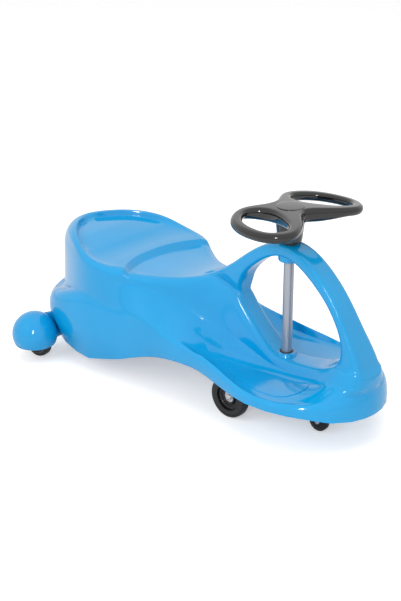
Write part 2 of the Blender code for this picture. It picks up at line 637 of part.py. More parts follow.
def body_shell(material):
    """Moulded body: hollow and open below, with the arch, bush collars and screw posts."""
    body = add_object("body_shell", body_mesh(with_arch=True), material)
    smoothed(body, 1)
    body.modifiers.new("facets", "TRIANGULATE")
    combine(body, cavity_mesh(), "DIFFERENCE").modifiers.new("facets", "TRIANGULATE")
    axis, level = (COLUMN_X, 0, 0), (0, 0, 0)
    top = rod(COLLAR_R, UPPER_COLLAR_BOTTOM, ARCH_HEIGHT - 0.010, ROUND)
    low = turned([(0, LOWER_COLLAR_BOTTOM), (COLLAR_R, LOWER_COLLAR_BOTTOM),
                  (COLLAR_R, CREST_HEIGHT), (COLLAR_R - 0.003, LOWER_COLLAR_TOP),
                  (0, LOWER_COLLAR_TOP)], ROUND, closed=False)
    added = [(top, axis, level), (low, axis, level)]
    bore, seat = BUSH_OUTER_R + RUN_GAP, BUSH_FLANGE_R + RUN_GAP
    ledge, above = ARCH_HEIGHT - BUSH_SEAT, ARCH_HEIGHT + 0.03
    cut = [(turned([(0, 0.05), (bore, 0.05), (bore, ledge), (seat, ledge), (seat, above),
                    (0, above)], ROUND, closed=False), axis, level)]
    cut += [(arm_bar(side, RUN_GAP), (REAR_AXLE_X, 0, BEAM_Z), ALONG_Y) for side in (-1, 1)]
    for x, y in screw_places():
        added.append((rod(POST_R, BEAM_TOP + RUN_GAP, SEAT_HEIGHT + 0.0005), (x, y, 0), level))
        hole = rod(SCREW_R + RUN_GAP, BEAM_TOP - 0.005, SCREW_TIP + RUN_GAP)
        cut.append((hole, (x, y, 0), level))
    combine(body, joined(added), "UNION")
    combine(body, joined(cut), "DIFFERENCE")
    return body


def rear_beam(material):
    """Beam across the tail, with a round cover over each rear wheel."""
    centre = (REAR_AXLE_X, 0, BEAM_Z)
    pin = (REAR_AXLE_X, 0, REAR_WHEEL_R)
    beam = add_object("rear_axle_beam", rod(BEAM_R, -ARM_INNER - 0.02, ARM_INNER + 0.02, ROUND),
                      material, centre, ALONG_Y)
    hollow, bosses, bores = [], [], []
    for side in (-1, 1):
        combine(beam, arm_bar(side, 0.0), "UNION", centre, ALONG_Y)
        place = (REAR_AXLE_X, side * COVER_Y, COVER_CENTRE_Z)
        combine(beam, ball(COVER_R), "UNION", place)
        hollow.append((ball(COVER_INNER_R), place, (0, 0, 0)))
        inner, outer = REAR_TRACK_HALF - WHEEL_SPACE, REAR_TRACK_HALF + WHEEL_SPACE
        for ends in ((BOSS_IN, inner), (outer, BOSS_OUT)):
            low, high = sorted((side * ends[0], side * ends[1]))
            bosses.append((rod(PIN_BOSS_R, low, high), pin, ALONG_Y))
        bore, sink = REAR_PIN_R + RUN_GAP, PIN_HEAD_R + RUN_GAP
        steps = [(0, BOSS_IN + 0.004), (bore, BOSS_IN + 0.004), (bore, BOSS_OUT - PIN_HEAD),
                 (sink, BOSS_OUT - PIN_HEAD), (sink, BOSS_OUT + 0.01), (0, BOSS_OUT + 0.01)]
        hole = turned([(r, side * y) for r, y in steps], SMALL_ROUND, closed=False)
        bores.append((hole, pin, ALONG_Y))
        below = box((0.12, 2.4 * COVER_R, 0.10), (REAR_AXLE_X, side * COVER_Y, COVER_HEM_Z - 0.05))
        combine(beam, below, "DIFFERENCE")
    for x, y in screw_places():
        steps = [(0, BEAM_Z - 0.03), (SCREW_HEAD_R + RUN_GAP, BEAM_Z - 0.03),
                 (SCREW_HEAD_R + RUN_GAP, SCREW_SEAT), (SCREW_R + RUN_GAP, SCREW_SEAT),
                 (SCREW_R + RUN_GAP, BEAM_TOP + 0.005), (0, BEAM_TOP + 0.005)]
        bores.append((turned(steps, SMALL_ROUND, closed=False), (x, y, 0), (0, 0, 0)))
    combine(beam, joined(hollow), "DIFFERENCE")
    combine(beam, joined(bosses), "UNION")
    combine(beam, joined(bores), "DIFFERENCE")
    return beam


def ball(radius):
    shape = bmesh.new()
    bmesh.ops.create_uvsphere(shape, u_segments=20, v_segments=10, radius=radius)
    mesh = bpy.data.meshes.new("ball")
    shape.to_mesh(mesh)
    shape.free()
    mesh.shade_smooth()
    return mesh


def rear_pins(material):
    """Pins that carry the rear wheels, put in from outside with a flat head."""
    tip, seat, head = BOSS_IN + 0.004 + RUN_GAP, BOSS_OUT - PIN_HEAD + RUN_GAP, BOSS_OUT
    steps = [(0, tip), (REAR_PIN_R, tip), (REAR_PIN_R, seat), (PIN_HEAD_R, seat),
             (PIN_HEAD_R, head), (0, head)]
    for name, side in (("rear_pin_L", 1), ("rear_pin_R", -1)):
        profile = [(r, side * y) for r, y in steps]
        add_object(name, turned(profile, SMALL_ROUND, closed=False), material,
                   (REAR_AXLE_X, 0, REAR_WHEEL_R), ALONG_Y)


def beam_screws(material):
    """Two screws up through the beam into the posts of the body."""
    head = SCREW_SEAT - RUN_GAP
    profile = [(0, head - SCREW_HEAD), (SCREW_HEAD_R, head - SCREW_HEAD), (SCREW_HEAD_R, head),
               (SCREW_R, head), (SCREW_R, SCREW_TIP), (0, SCREW_TIP)]
    for name, (x, y) in zip(("beam_screw_R", "beam_screw_L"), screw_places()):
        add_object(name, turned(profile, SMALL_ROUND, closed=False), material, (x, y, 0))


def bushes(material):
    """Plain bearings of the column in the arch and in the deck."""
    low = UPPER_COLLAR_BOTTOM - 0.0005
    seat = ARCH_HEIGHT - BUSH_SEAT + RUN_GAP
    top = seat + BUSH_FLANGE - RUN_GAP
    upper = [(BUSH_R, low), (BUSH_OUTER_R, low), (BUSH_OUTER_R, seat), (BUSH_FLANGE_R, seat),
             (BUSH_FLANGE_R, top - 0.0005), (BUSH_FLANGE_R - 0.0005, top), (BUSH_R, top)]
    add_object("upper_bush", turned(upper, ROUND), material, (COLUMN_X, 0, 0))
    seat = LOWER_COLLAR_BOTTOM - RUN_GAP
    low, top = seat - LOWER_FLANGE, LOWER_COLLAR_TOP + 0.0010
    lower = [(BUSH_R, low), (BUSH_FLANGE_R, low), (BUSH_FLANGE_R, seat), (BUSH_OUTER_R, seat),
             (BUSH_OUTER_R, top), (BUSH_R, top)]
    add_object("lower_bush", turned(lower, ROUND), material, (COLUMN_X, 0, 0))


# Plan of the steering wheel, from its back round the left loop to its front, and of the
# left hand hole, as (ahead of the steering axis, sideways)
WHEEL_PLAN = [(-0.0415, 0.000), (-0.043, 0.012), (-0.050, 0.028), (-0.061, 0.045), (-0.066, 0.065),
              (-0.059, 0.087), (-0.040, 0.106), (-0.012, 0.121), (0.020, WHEEL_REACH),
              (0.050, 0.127), (0.070, 0.113), (0.077, 0.095), (0.072, 0.077), (0.060, 0.057),
              (0.043, 0.035), (0.032, 0.014), (0.029, 0.000)]
HAND_HOLE = [(-0.0535, 0.056), (-0.0535, 0.070), (-0.045, 0.085), (-0.026, 0.0985), (0.000, 0.109),
             (0.030, 0.116), (0.052, 0.1115), (0.0635, 0.096), (0.059, 0.078), (0.046, 0.060),
             (0.026, 0.045), (0.000, 0.0365), (-0.026, 0.034), (-0.045, 0.043)]


def closed_curve(knots, count):
    """Evenly spaced points on a smooth closed curve through the knots."""
    p = np.array(knots, float)
    before, after, later = np.roll(p, 1, 0), np.roll(p, -1, 0), np.roll(p, -2, 0)
    t = np.linspace(0, 1, 24, endpoint=False)[None, :, None]
    a, b, c, d = (q[:, None, :] for q in (before, p, after, later))
    fine = 0.5 * (2 * b + (c - a) * t + (2 * a - 5 * b + 4 * c - d) * t ** 2
                  + (3 * b - a - 3 * c + d) * t ** 3)
    fine = fine.reshape(-1, 2)
    fine = np.vstack([fine, fine[:1]])
    walk = np.concatenate([[0], np.cumsum(np.hypot(*np.diff(fine, axis=0).T))])
    at = np.arange(count) * walk[-1] / count
    return np.stack([np.interp(at, walk, fine[:, 0]), np.interp(at, walk, fine[:, 1])], 1)


def wheel_outline(count):
    right = [(x, -y) for x, y in WHEEL_PLAN[1:-1]][::-1]
    return closed_curve(WHEEL_PLAN + right, count)


def hand_hole(side, count):
    return closed_curve([(x, side * y) for x, y in HAND_HOLE], count)


def inset(points, amount, into_hole):
    """Move a closed outline inwards, or outwards for a hole, along its own normals."""
    along = np.roll(points, -1, 0) - np.roll(points, 1, 0)
    normal = np.stack([along[:, 1], -along[:, 0]], 1) / np.hypot(along[:, 0], along[:, 1])[:, None]
    area = np.sum(points[:, 0] * np.roll(points[:, 1], -1) - np.roll(points[:, 0], -1) * points[:, 1])
    outward = normal * np.sign(area)
    return points + outward * (amount if into_hole else -amount)


def steering_wheel(material, parent):
    """Flat-topped steering wheel with two loops, a hub, a tapered neck and its bore."""
    section = [(WHEEL_EDGE, 0.0), (0.3 * WHEEL_EDGE, 0.3 * WHEEL_EDGE), (0.0, WHEEL_EDGE),
               (0.0, WHEEL_DEPTH - 0.7 * WHEEL_EDGE), (0.3 * WHEEL_EDGE, WHEEL_DEPTH - 0.2 * WHEEL_EDGE),
               (0.7 * WHEEL_EDGE, WHEEL_DEPTH)]
    shape = bmesh.new()
    caps = {0: [], len(section) - 1: []}
    for outline, into_hole in ((wheel_outline(72), False), (hand_hole(1, 32), True),
                               (hand_hole(-1, 32), True)):
        rings = []
        for amount, height in section:
            ring = inset(outline, amount, into_hole)
            droop = WHEEL_DROOP * np.minimum(np.abs(ring[:, 1]) / WHEEL_REACH, 1) ** 1.5
            rings.append([shape.verts.new((p[0], p[1], HUB_BOTTOM + height - d))
                          for p, d in zip(ring, droop)])
        count = len(outline)
        for a, b in zip(rings[:-1], rings[1:]):
            for i in range(count):
                k = (i + 1) % count
                shape.faces.new((a[i], a[k], b[k], b[i]))
        for level, edges in caps.items():
            ring = rings[level]
            for i in range(count):
                edges.append(shape.edges.get((ring[i], ring[(i + 1) % count])))
    for edges in caps.values():
        bmesh.ops.triangle_fill(shape, use_beauty=True, use_dissolve=False, edges=edges)
    bmesh.ops.recalc_face_normals(shape, faces=shape.faces)
    mesh = bpy.data.meshes.new("wheel")
    shape.to_mesh(mesh)
    shape.free()
    mesh.shade_smooth()
    mesh.set_sharp_from_angle(angle=math.radians(35))
    wheel = add_object("steering_wheel", mesh, material, parent=parent)
    neck = turned([(0, NECK_BOTTOM), (NECK_BOTTOM_R, NECK_BOTTOM), (NECK_TOP_R, HUB_BOTTOM + 0.002),
                   (0, HUB_BOTTOM + 0.002)], ROUND, closed=False)
    combine(wheel, neck, "UNION")
    combine(wheel, rod(COLUMN_R + RUN_GAP, 0.3, COLUMN_TOP + RUN_GAP, ROUND), "DIFFERENCE")
    combine(wheel, rod(CAP_R + RUN_GAP, CAP_BASE - RUN_GAP, 0.45, ROUND), "DIFFERENCE")
    reach = neck_radius(WHEEL_BOLT_Z)
    seat, bore, sink = reach - CROSS_HEAD, CROSS_BOLT_R + RUN_GAP, CROSS_HEAD_R + RUN_GAP
    steps = [(0, -0.05), (sink, -0.05), (sink, -seat), (bore, -seat), (bore, seat), (sink, seat),
             (sink, 0.05), (0, 0.05)]
    combine(wheel, turned(steps, SMALL_ROUND, False, 0.37), "DIFFERENCE", (0, 0, WHEEL_BOLT_Z), ALONG_Y)
    return wheel


def neck_radius(z):
    share = (z - NECK_BOTTOM) / (HUB_BOTTOM + 0.002 - NECK_BOTTOM)
    return NECK_BOTTOM_R + share * (NECK_TOP_R - NECK_BOTTOM_R)


def cross_bolt(name, reach, place, rotation, material, parent):
    """Bolt through a hub and the column, with a round head at each end."""
    seat = reach - CROSS_HEAD + RUN_GAP
    profile = [(0, -reach), (CROSS_HEAD_R, -reach), (CROSS_HEAD_R, -seat), (CROSS_BOLT_R, -seat),
               (CROSS_BOLT_R, seat), (CROSS_HEAD_R, seat), (CROSS_HEAD_R, reach), (0, reach)]
    add_object(name, turned(profile, SMALL_ROUND, closed=False), material, place, rotation, parent)


def steering_column(material, parent):
    """Steel tube from the carriage up into the steering wheel."""
    tube = sleeve(COLUMN_R - COLUMN_WALL, COLUMN_R, COLUMN_BOTTOM, COLUMN_TOP, ROUND)
    column = add_object("steering_column", tube, material, parent=parent)
    hole = CROSS_BOLT_R + RUN_GAP
    for z, way in ((WHEEL_BOLT_Z, ALONG_Y), (CARRIAGE_BOLT_Z, ALONG_X)):
        combine(column, rod(hole, -0.03, 0.03, turn=0.37), "DIFFERENCE", (0, 0, z), way)


def extruded(outline, low, high):
    """Flat outline in local X and Y raised between two heights."""
    count = len(outline)
    verts = [(x, y, low) for x, y in outline] + [(x, y, high) for x, y in outline]
    faces = [tuple(range(count))[::-1], tuple(range(count, 2 * count))]
    faces += [(i, (i + 1) % count, count + (i + 1) % count, count + i) for i in range(count)]
    return mesh_from(verts, faces)


def carriage_bracket(material, parent):
    """Bracket under the deck: hub on the column, plate, axle tube and tip arm."""
    hub = rod(CARRIAGE_HUB_R, CARRIAGE_HUB_BOTTOM, CARRIAGE_HUB_TOP, ROUND)
    bracket = add_object("carriage_bracket", hub, material, parent=parent)
    tube_half = FRONT_TRACK_HALF - FRONT_WHEEL_WIDTH / 2 - WHEEL_GAP
    corner = tube_half - 0.006
    back, front = -FRONT_TRAIL - 0.006, 0.030
    plate = extruded([(back, -corner), (-0.040, -corner), (front, -0.018), (front, 0.018),
                      (-0.040, corner), (back, corner)], PLATE_TOP - PLATE_THICK, PLATE_TOP)
    combine(bracket, plate, "UNION")
    axle_z = FRONT_WHEEL_R
    tube = rod(AXLE_TUBE_R, -tube_half, tube_half)
    combine(bracket, tube, "UNION", (-FRONT_TRAIL, 0, axle_z), ALONG_Y)
    for y in (0.0015 + WEB_THICK / 2 - corner, 0, corner - WEB_THICK / 2 - 0.0015):
        web = extruded([(-FRONT_TRAIL - 0.005, axle_z), (-FRONT_TRAIL + 0.006, axle_z),
                        (-0.034, PLATE_TOP - 0.0026), (back + 0.0013, PLATE_TOP - 0.0026)],
                       y - WEB_THICK / 2, y + WEB_THICK / 2)
        combine(bracket, web, "UNION", rotation=(math.pi / 2, 0, 0))
    tip_x, tip_z = TIP_LEAD, TIP_AXLE_Z
    arm = extruded([(0.006, PLATE_TOP + 0.0012), (0.058, PLATE_TOP + 0.0012), (0.084, 0.050),
                    (tip_x + 0.005, tip_z + 0.006), (tip_x + 0.004, tip_z - 0.005),
                    (tip_x - 0.006, tip_z - 0.002), (0.072, 0.044), (0.050, PLATE_TOP - 0.010),
                    (0.006, PLATE_TOP - 0.010)], -ARM_HALF_WIDTH, ARM_HALF_WIDTH)
    combine(bracket, arm, "UNION", rotation=(math.pi / 2, 0, 0))
    tip_half = TIP_TRACK_HALF - TIP_WHEEL_WIDTH / 2 - WHEEL_GAP
    combine(bracket, rod(TIP_TUBE_R, -tip_half, tip_half), "UNION", (tip_x, 0, tip_z), ALONG_Y)
    hole = rod(CROSS_BOLT_R + RUN_GAP, -0.025, 0.025, turn=0.37)
    combine(bracket, hole, "DIFFERENCE", (0, 0, CARRIAGE_BOLT_Z), ALONG_X)
    level = (0, 0, 0)
    bores = [(rod(COLUMN_R + RUN_GAP, COLUMN_BOTTOM - RUN_GAP, 0.12, ROUND), level, level),
             (rod(AXLE_R + RUN_GAP, -0.12, 0.12), (-FRONT_TRAIL, 0, axle_z), ALONG_Y),
             (rod(TIP_AXLE_R + RUN_GAP, -0.05, 0.05, turn=0.5), (tip_x, 0, tip_z), ALONG_Y)]
    combine(bracket, joined(bores), "DIFFERENCE")
    return bracket


def axle(name, radius, half, head_r, head, material, parent, place):
    """Axle along Y with a round head on each end, outside the wheels."""
    profile = [(0, -half), (head_r, -half), (head_r, -half + head), (radius, -half + head),
               (radius, half - head), (head_r, half - head), (head_r, half), (0, half)]
    add_object(name, turned(profile, SMALL_ROUND, closed=False), material, place, ALONG_Y, parent)


def tyre_section(radius, width, inner):
    """Tyre with rounded shoulders."""
    half, soft = width / 2, 0.18 * width
    return [(inner, -half + soft * 0.5), (radius - 1.6 * soft, -half), (radius - 0.5 * soft, -half + 0.35 * soft),
            (radius, -half + 1.5 * soft), (radius, half - 1.5 * soft),
            (radius - 0.5 * soft, half - 0.35 * soft), (radius - 1.6 * soft, half),
            (inner, half - soft * 0.5)]


def hub_section(outer, bore, width, web):
    """Dished hub: flange under the tyre, thin web and a boss round the bore."""
    half = width / 2
    return [(bore, -0.55 * half), (bore + 0.0030, -0.55 * half), (bore + 0.0042, -web / 2),
            (outer - 0.0044, -web / 2), (outer - 0.0028, -half), (outer, -half), (outer, half),
            (outer - 0.0028, half), (outer - 0.0044, web / 2), (bore + 0.0042, web / 2),
            (bore + 0.0030, 0.55 * half), (bore, 0.55 * half)]


FRONT_HUB_R = 0.0290
REAR_HUB_R = 0.0250


def main():
    clear_scene()
    blue = finish("blue_plastic", (0.045, 0.32, 0.70), 0.25)
    black = finish("black_plastic", (0.012, 0.012, 0.014), 0.30)
    rubber = finish("tyre_rubber", (0.010, 0.010, 0.011), 0.60)
    hub_black = finish("hub_plastic", (0.020, 0.020, 0.022), 0.40)
    nylon = finish("bush_nylon", (0.030, 0.030, 0.033), 0.50)
    steel = finish("column_steel", (0.55, 0.56, 0.60), 0.35, 0.6)
    zinc = finish("zinc_steel", (0.60, 0.60, 0.62), 0.30, 0.9)

    body_shell(blue)
    rear_beam(blue)
    rear_pins(zinc)
    beam_screws(zinc)
    bushes(nylon)

    steer = add_empty("steering_axis", (COLUMN_X, 0, 0))
    steering_column(steel, steer)
    steering_wheel(black, steer)
    cap = turned([(0, CAP_BASE), (CAP_R, CAP_BASE), (CAP_R, WHEEL_TOP + CAP_PROUD - 0.001),
                  (CAP_R - 0.001, WHEEL_TOP + CAP_PROUD), (0, WHEEL_TOP + CAP_PROUD)],
                 ROUND, closed=False)
    add_object("hub_cap", cap, black, parent=steer)
    cross_bolt("wheel_bolt", neck_radius(WHEEL_BOLT_Z) - 0.0002, (0, 0, WHEEL_BOLT_Z), ALONG_Y, zinc, steer)
    washer = sleeve(COLUMN_R + RUN_GAP, BUSH_FLANGE_R, WASHER_TOP - WASHER_THICK, WASHER_TOP, ROUND)
    add_object("thrust_washer", washer, zinc, parent=steer)
    carriage_bracket(hub_black, steer)
    cross_bolt("carriage_bolt", CARRIAGE_HUB_R + CROSS_HEAD, (0, 0, CARRIAGE_BOLT_Z), ALONG_X, zinc, steer)

    axle_half = FRONT_TRACK_HALF + FRONT_WHEEL_WIDTH / 2 - 0.0015
    seat = FRONT_TRACK_HALF + BEARING_WIDTH / 2 + RUN_GAP
    axle("front_axle", AXLE_R, axle_half, NUT_R, axle_half - seat, zinc, steer,
         (-FRONT_TRAIL, 0, FRONT_WHEEL_R))
    tip_half = TIP_TRACK_HALF + TIP_WHEEL_WIDTH / 2 + 0.0018
    axle("tip_axle", TIP_AXLE_R, tip_half, 0.0055, 0.0015, zinc, steer, (TIP_LEAD, 0, TIP_AXLE_Z))

    for tag, side in (("L", 1), ("R", -1)):
        hub = add_empty("front_spin_" + tag, (-FRONT_TRAIL, side * FRONT_TRACK_HALF, FRONT_WHEEL_R), steer)
        tyre = turned(tyre_section(FRONT_WHEEL_R, FRONT_WHEEL_WIDTH, FRONT_HUB_R + RUN_GAP), ROUND)
        add_object("front_tyre_" + tag, tyre, rubber, rotation=ALONG_Y, parent=hub)
        disc = turned(hub_section(FRONT_HUB_R, BEARING_R + RUN_GAP, 0.8 * FRONT_WHEEL_WIDTH, 0.004), ROUND)
        add_object("front_hub_" + tag, disc, hub_black, rotation=ALONG_Y, parent=hub)
        ring = sleeve(AXLE_R + RUN_GAP, BEARING_R, -BEARING_WIDTH / 2, BEARING_WIDTH / 2, ROUND)
        add_object("front_bearing_" + tag, ring, zinc, rotation=ALONG_Y, parent=hub)

        tip = add_empty("tip_spin_" + tag, (TIP_LEAD, side * TIP_TRACK_HALF, TIP_AXLE_Z), steer)
        small = turned(tyre_section(TIP_WHEEL_R, TIP_WHEEL_WIDTH, TIP_AXLE_R + RUN_GAP), SMALL_ROUND + 6)
        add_object("tip_wheel_" + tag, small, rubber, rotation=ALONG_Y, parent=tip)

        rear = add_empty("rear_spin_" + tag, (REAR_AXLE_X, side * REAR_TRACK_HALF, REAR_WHEEL_R))
        tyre = turned(tyre_section(REAR_WHEEL_R, REAR_WHEEL_WIDTH, REAR_HUB_R + RUN_GAP), ROUND)
        add_object("rear_tyre_" + tag, tyre, rubber, rotation=ALONG_Y, parent=rear)
        disc = turned(hub_section(REAR_HUB_R, REAR_PIN_R + RUN_GAP, REAR_WHEEL_WIDTH, 0.006), ROUND)
        add_object("rear_hub_" + tag, disc, hub_black, rotation=ALONG_Y, parent=rear)


main()
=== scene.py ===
"""Looks of a twist-drive ride-on car for a child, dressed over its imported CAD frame.

Every visible piece is a surface worked out with numpy in metres: X points forward, Y to
the rider's left and Z up, and the ground is Z = 0. Each piece rides on the CAD body that
carries it and stands for the CAD nodes that it replaces.
"""
import logging
import math
from dataclasses import dataclass
from enum import Enum, IntEnum
from typing import Sequence

import bmesh
import bpy
import numpy as np
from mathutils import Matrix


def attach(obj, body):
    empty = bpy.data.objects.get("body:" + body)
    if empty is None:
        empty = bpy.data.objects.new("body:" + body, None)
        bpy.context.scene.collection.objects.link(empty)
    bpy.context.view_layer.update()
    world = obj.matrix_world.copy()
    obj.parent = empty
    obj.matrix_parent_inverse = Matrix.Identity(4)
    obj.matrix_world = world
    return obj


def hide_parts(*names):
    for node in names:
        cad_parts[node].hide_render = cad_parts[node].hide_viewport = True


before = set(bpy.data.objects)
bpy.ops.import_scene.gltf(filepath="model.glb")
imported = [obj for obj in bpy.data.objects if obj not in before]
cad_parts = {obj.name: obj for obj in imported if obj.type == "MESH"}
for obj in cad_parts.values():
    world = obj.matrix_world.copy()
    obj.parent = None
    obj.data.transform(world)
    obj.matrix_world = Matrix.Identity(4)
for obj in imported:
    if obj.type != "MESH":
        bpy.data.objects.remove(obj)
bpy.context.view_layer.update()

LOG = logging.getLogger("ride_on_car")
SIDES = (("L", 1), ("R", -1))
FULL_TURN = 2 * math.pi

Mesh, Object, Material = bpy.types.Mesh, bpy.types.Object, bpy.types.Material
Socket = bpy.types.NodeSocket
Points = np.ndarray
Pair = tuple[float, float]
Triple = tuple[float, float, float]
Knots = Sequence[Pair]


# ---------------------------------------------------------------- shapes


def curve(knots: Knots, at: Points) -> Points:
    """Smooth curve through knots: a cubic in each span whose slopes never overshoot them.

    Args:
        knots: (position, value) pairs in rising order of position.
        at: positions to read the curve at.

    Returns:
        The curve's value at each position.
    """
    x = np.array([k[0] for k in knots], float)
    y = np.array([k[1] for k in knots], float)
    h = np.diff(x)
    rise = np.diff(y) / h
    slope = np.zeros_like(y)
    same = rise[:-1] * rise[1:] > 0
    w1, w2 = 2 * h[1:] + h[:-1], h[1:] + 2 * h[:-1]
    safe = np.where(same, rise[:-1], 1.0), np.where(same, rise[1:], 1.0)
    slope[1:-1] = np.where(same, (w1 + w2) / (w1 / safe[0] + w2 / safe[1]), 0.0)
    slope[0], slope[-1] = rise[0], rise[-1]
    at = np.clip(np.asarray(at, float), x[0], x[-1])
    i = np.clip(np.searchsorted(x, at, side="right") - 1, 0, len(h) - 1)
    t = (at - x[i]) / h[i]
    return ((1 + 2 * t) * (1 - t) ** 2 * y[i] + t * (1 - t) ** 2 * h[i] * slope[i]
            + t * t * (3 - 2 * t) * y[i + 1] + t * t * (t - 1) * h[i] * slope[i + 1])


def smoothstep(low: float, high: float, at: Points) -> Points:
    """Rise from 0 at low to 1 at high along 3t squared minus 2t cubed."""
    t = np.clip((at - low) / (high - low), 0, 1)
    return t * t * (3 - 2 * t)


def grid_quads(rows: int, cols: int, close_rows: bool = False,
               close_cols: bool = True) -> Points:
    """Four-sided faces of a grid whose point (r, c) has the number r * cols + c.

    Args:
        rows: number of rows of points.
        cols: number of points in a row.
        close_rows: join the last row to the first.
        close_cols: join the end of each row to its start.

    Returns:
        An array of faces with four point numbers each.
    """
    numbers = np.arange(rows * cols).reshape(rows, cols)
    if close_rows:
        numbers = np.vstack([numbers, numbers[:1]])
    if close_cols:
        numbers = np.hstack([numbers, numbers[:, :1]])
    corners = numbers[:-1, :-1], numbers[:-1, 1:], numbers[1:, 1:], numbers[1:, :-1]
    return np.stack(corners, -1).reshape(-1, 4)


def raw_mesh(points: Points, faces: Points) -> Mesh:
    """Mesh from points and faces as they are."""
    mesh = bpy.data.meshes.new("surface")
    mesh.from_pydata(points.tolist(), [], faces.tolist())
    return mesh


def shaded(mesh: Mesh, smooth_deg: float) -> Mesh:
    """Shade a mesh smooth where its edges bend less than an angle in degrees."""
    mesh.shade_smooth()
    mesh.set_sharp_from_angle(angle=math.radians(smooth_deg))
    return mesh


def mesh_of(points: Points, faces: Points, weld: float = 1e-6,
            smooth_deg: float = 40.0) -> Mesh:
    """Mesh from points and faces, with equal points merged and faces turned outwards.

    Args:
        points: array of x, y, z rows.
        faces: rows of point numbers.
        weld: points closer than this are merged.
        smooth_deg: edges that bend less than this are shaded smooth.

    Returns:
        The mesh.
    """
    mesh = raw_mesh(points, faces)
    shape = bmesh.new()
    shape.from_mesh(mesh)
    bmesh.ops.remove_doubles(shape, verts=shape.verts, dist=weld)
    bmesh.ops.dissolve_degenerate(shape, dist=weld, edges=shape.edges)
    bmesh.ops.recalc_face_normals(shape, faces=shape.faces)
    shape.to_mesh(mesh)
    shape.free()
    return shaded(mesh, smooth_deg)


def placed(name: str, data: bpy.types.ID) -> Object:
    """Put an object with some data in the scene."""
    obj = bpy.data.objects.new(name, data)
    bpy.context.collection.objects.link(obj)
    return obj


def modified(mesh: Mesh, kind: str, **settings: object) -> tuple[Points, Points, Points]:
    """Run one modifier on a draft mesh, take the numbers of the result and drop the draft.

    Args:
        mesh: the draft.
        kind: the modifier's type.
        settings: the modifier's properties.

    Returns:
        Points, the point numbers of all face corners, and point normals.
    """
    obj = placed("draft", mesh)
    modifier = obj.modifiers.new("draft", kind)
    for key, value in settings.items():
        setattr(modifier, key, value)
    bpy.context.view_layer.update()
    fine = obj.evaluated_get(bpy.context.evaluated_depsgraph_get()).to_mesh()
    points, normals = np.empty((2, len(fine.vertices) * 3))
    fine.vertices.foreach_get("co", points)
    fine.vertices.foreach_get("normal", normals)
    corners = np.empty(len(fine.loops), int)
    fine.loops.foreach_get("vertex_index", corners)
    bpy.data.objects.remove(obj, do_unlink=True)
    bpy.data.meshes.remove(mesh)
    return points.reshape(-1, 3), corners, normals.reshape(-1, 3)


class Axis(Enum):
    """Direction of a turned piece's own axis."""

    Y = "y"
    Z = "z"


def rounded(corners: Sequence[Triple], steps: int = 6) -> Points:
    """Profile with rounded corners, each an arc-like curve between its two straight sides.

    A corner with radius r is a quadratic curve from the point r before it to the point r
    after it, which bends towards the corner itself.

    Args:
        corners: (radius from the axis, height, corner radius) of each corner in order.
        steps: points along each rounded corner.

    Returns:
        An array of (radius from the axis, height) rows.
    """
    pts = np.array([c[:2] for c in corners], float)
    rows: list[Points] = []
    t = np.linspace(0, 1, steps)[:, None]
    for i, (_, _, radius) in enumerate(corners):
        if radius <= 0 or i in (0, len(corners) - 1):
            rows.append(pts[i][None, :])
            continue
        ends = []
        for way in (pts[i - 1] - pts[i], pts[i + 1] - pts[i]):
            length = np.linalg.norm(way)
            ends.append(pts[i] + way / length * min(radius, length * 0.5))
        rows.append((1 - t) ** 2 * ends[0] + 2 * t * (1 - t) * pts[i] + t ** 2 * ends[1])
    return np.vstack(rows)


def both_ways(side: Sequence[Triple]) -> list[Triple]:
    """Corners of a profile that is the same below height 0 as above it."""
    return [(across, -height, radius) for across, height, radius in side[::-1]] + list(side)


def spun(profile: Points, sides: int) -> Points:
    """Profile turned about Z: radius times the cos and sin of each step, and the height."""
    angle = np.linspace(0, FULL_TURN, sides, endpoint=False)
    radius, height = profile[:, :1], profile[:, 1:]
    return np.stack([radius * np.cos(angle), radius * np.sin(angle),
                     np.broadcast_to(height, (len(profile), sides))], -1)


def turned(profile: Points, sides: int, axis: Axis, centre: Triple,
           closed: bool = False) -> Mesh:
    """Surface of revolution about an axis of the car.

    Args:
        profile: (radius, height) rows. It ends on the axis unless it is closed.
        sides: steps of the full turn.
        axis: direction of the axis.
        centre: point of the axis that height 0 stands for.
        closed: the profile is a ring's section.

    Returns:
        The mesh.
    """
    points = spun(profile, sides)
    if axis is Axis.Y:
        points = points[..., [1, 2, 0]]
    points = points.reshape(-1, 3) + np.array(centre)
    return mesh_of(points, grid_quads(len(profile), sides, close_rows=closed))


def piece(name: str, mesh: Mesh, material: Material, body: str,
          nodes: Sequence[str] = ()) -> Object:
    """Put a finished mesh in the scene, on its CAD body and in its material slot.

    Args:
        name: the piece's name.
        mesh: its mesh, already in place.
        material: its finish.
        body: CAD body that carries it.
        nodes: CAD nodes that it stands for.

    Returns:
        The object.
    """
    obj = placed(name, mesh)
    mesh.materials.append(material)
    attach(obj, body)
    if nodes:
        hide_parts(*nodes)
    LOG.info("%s: %d faces on %s", name, len(mesh.polygons), body)
    return obj


# ---------------------------------------------------------------- finishes


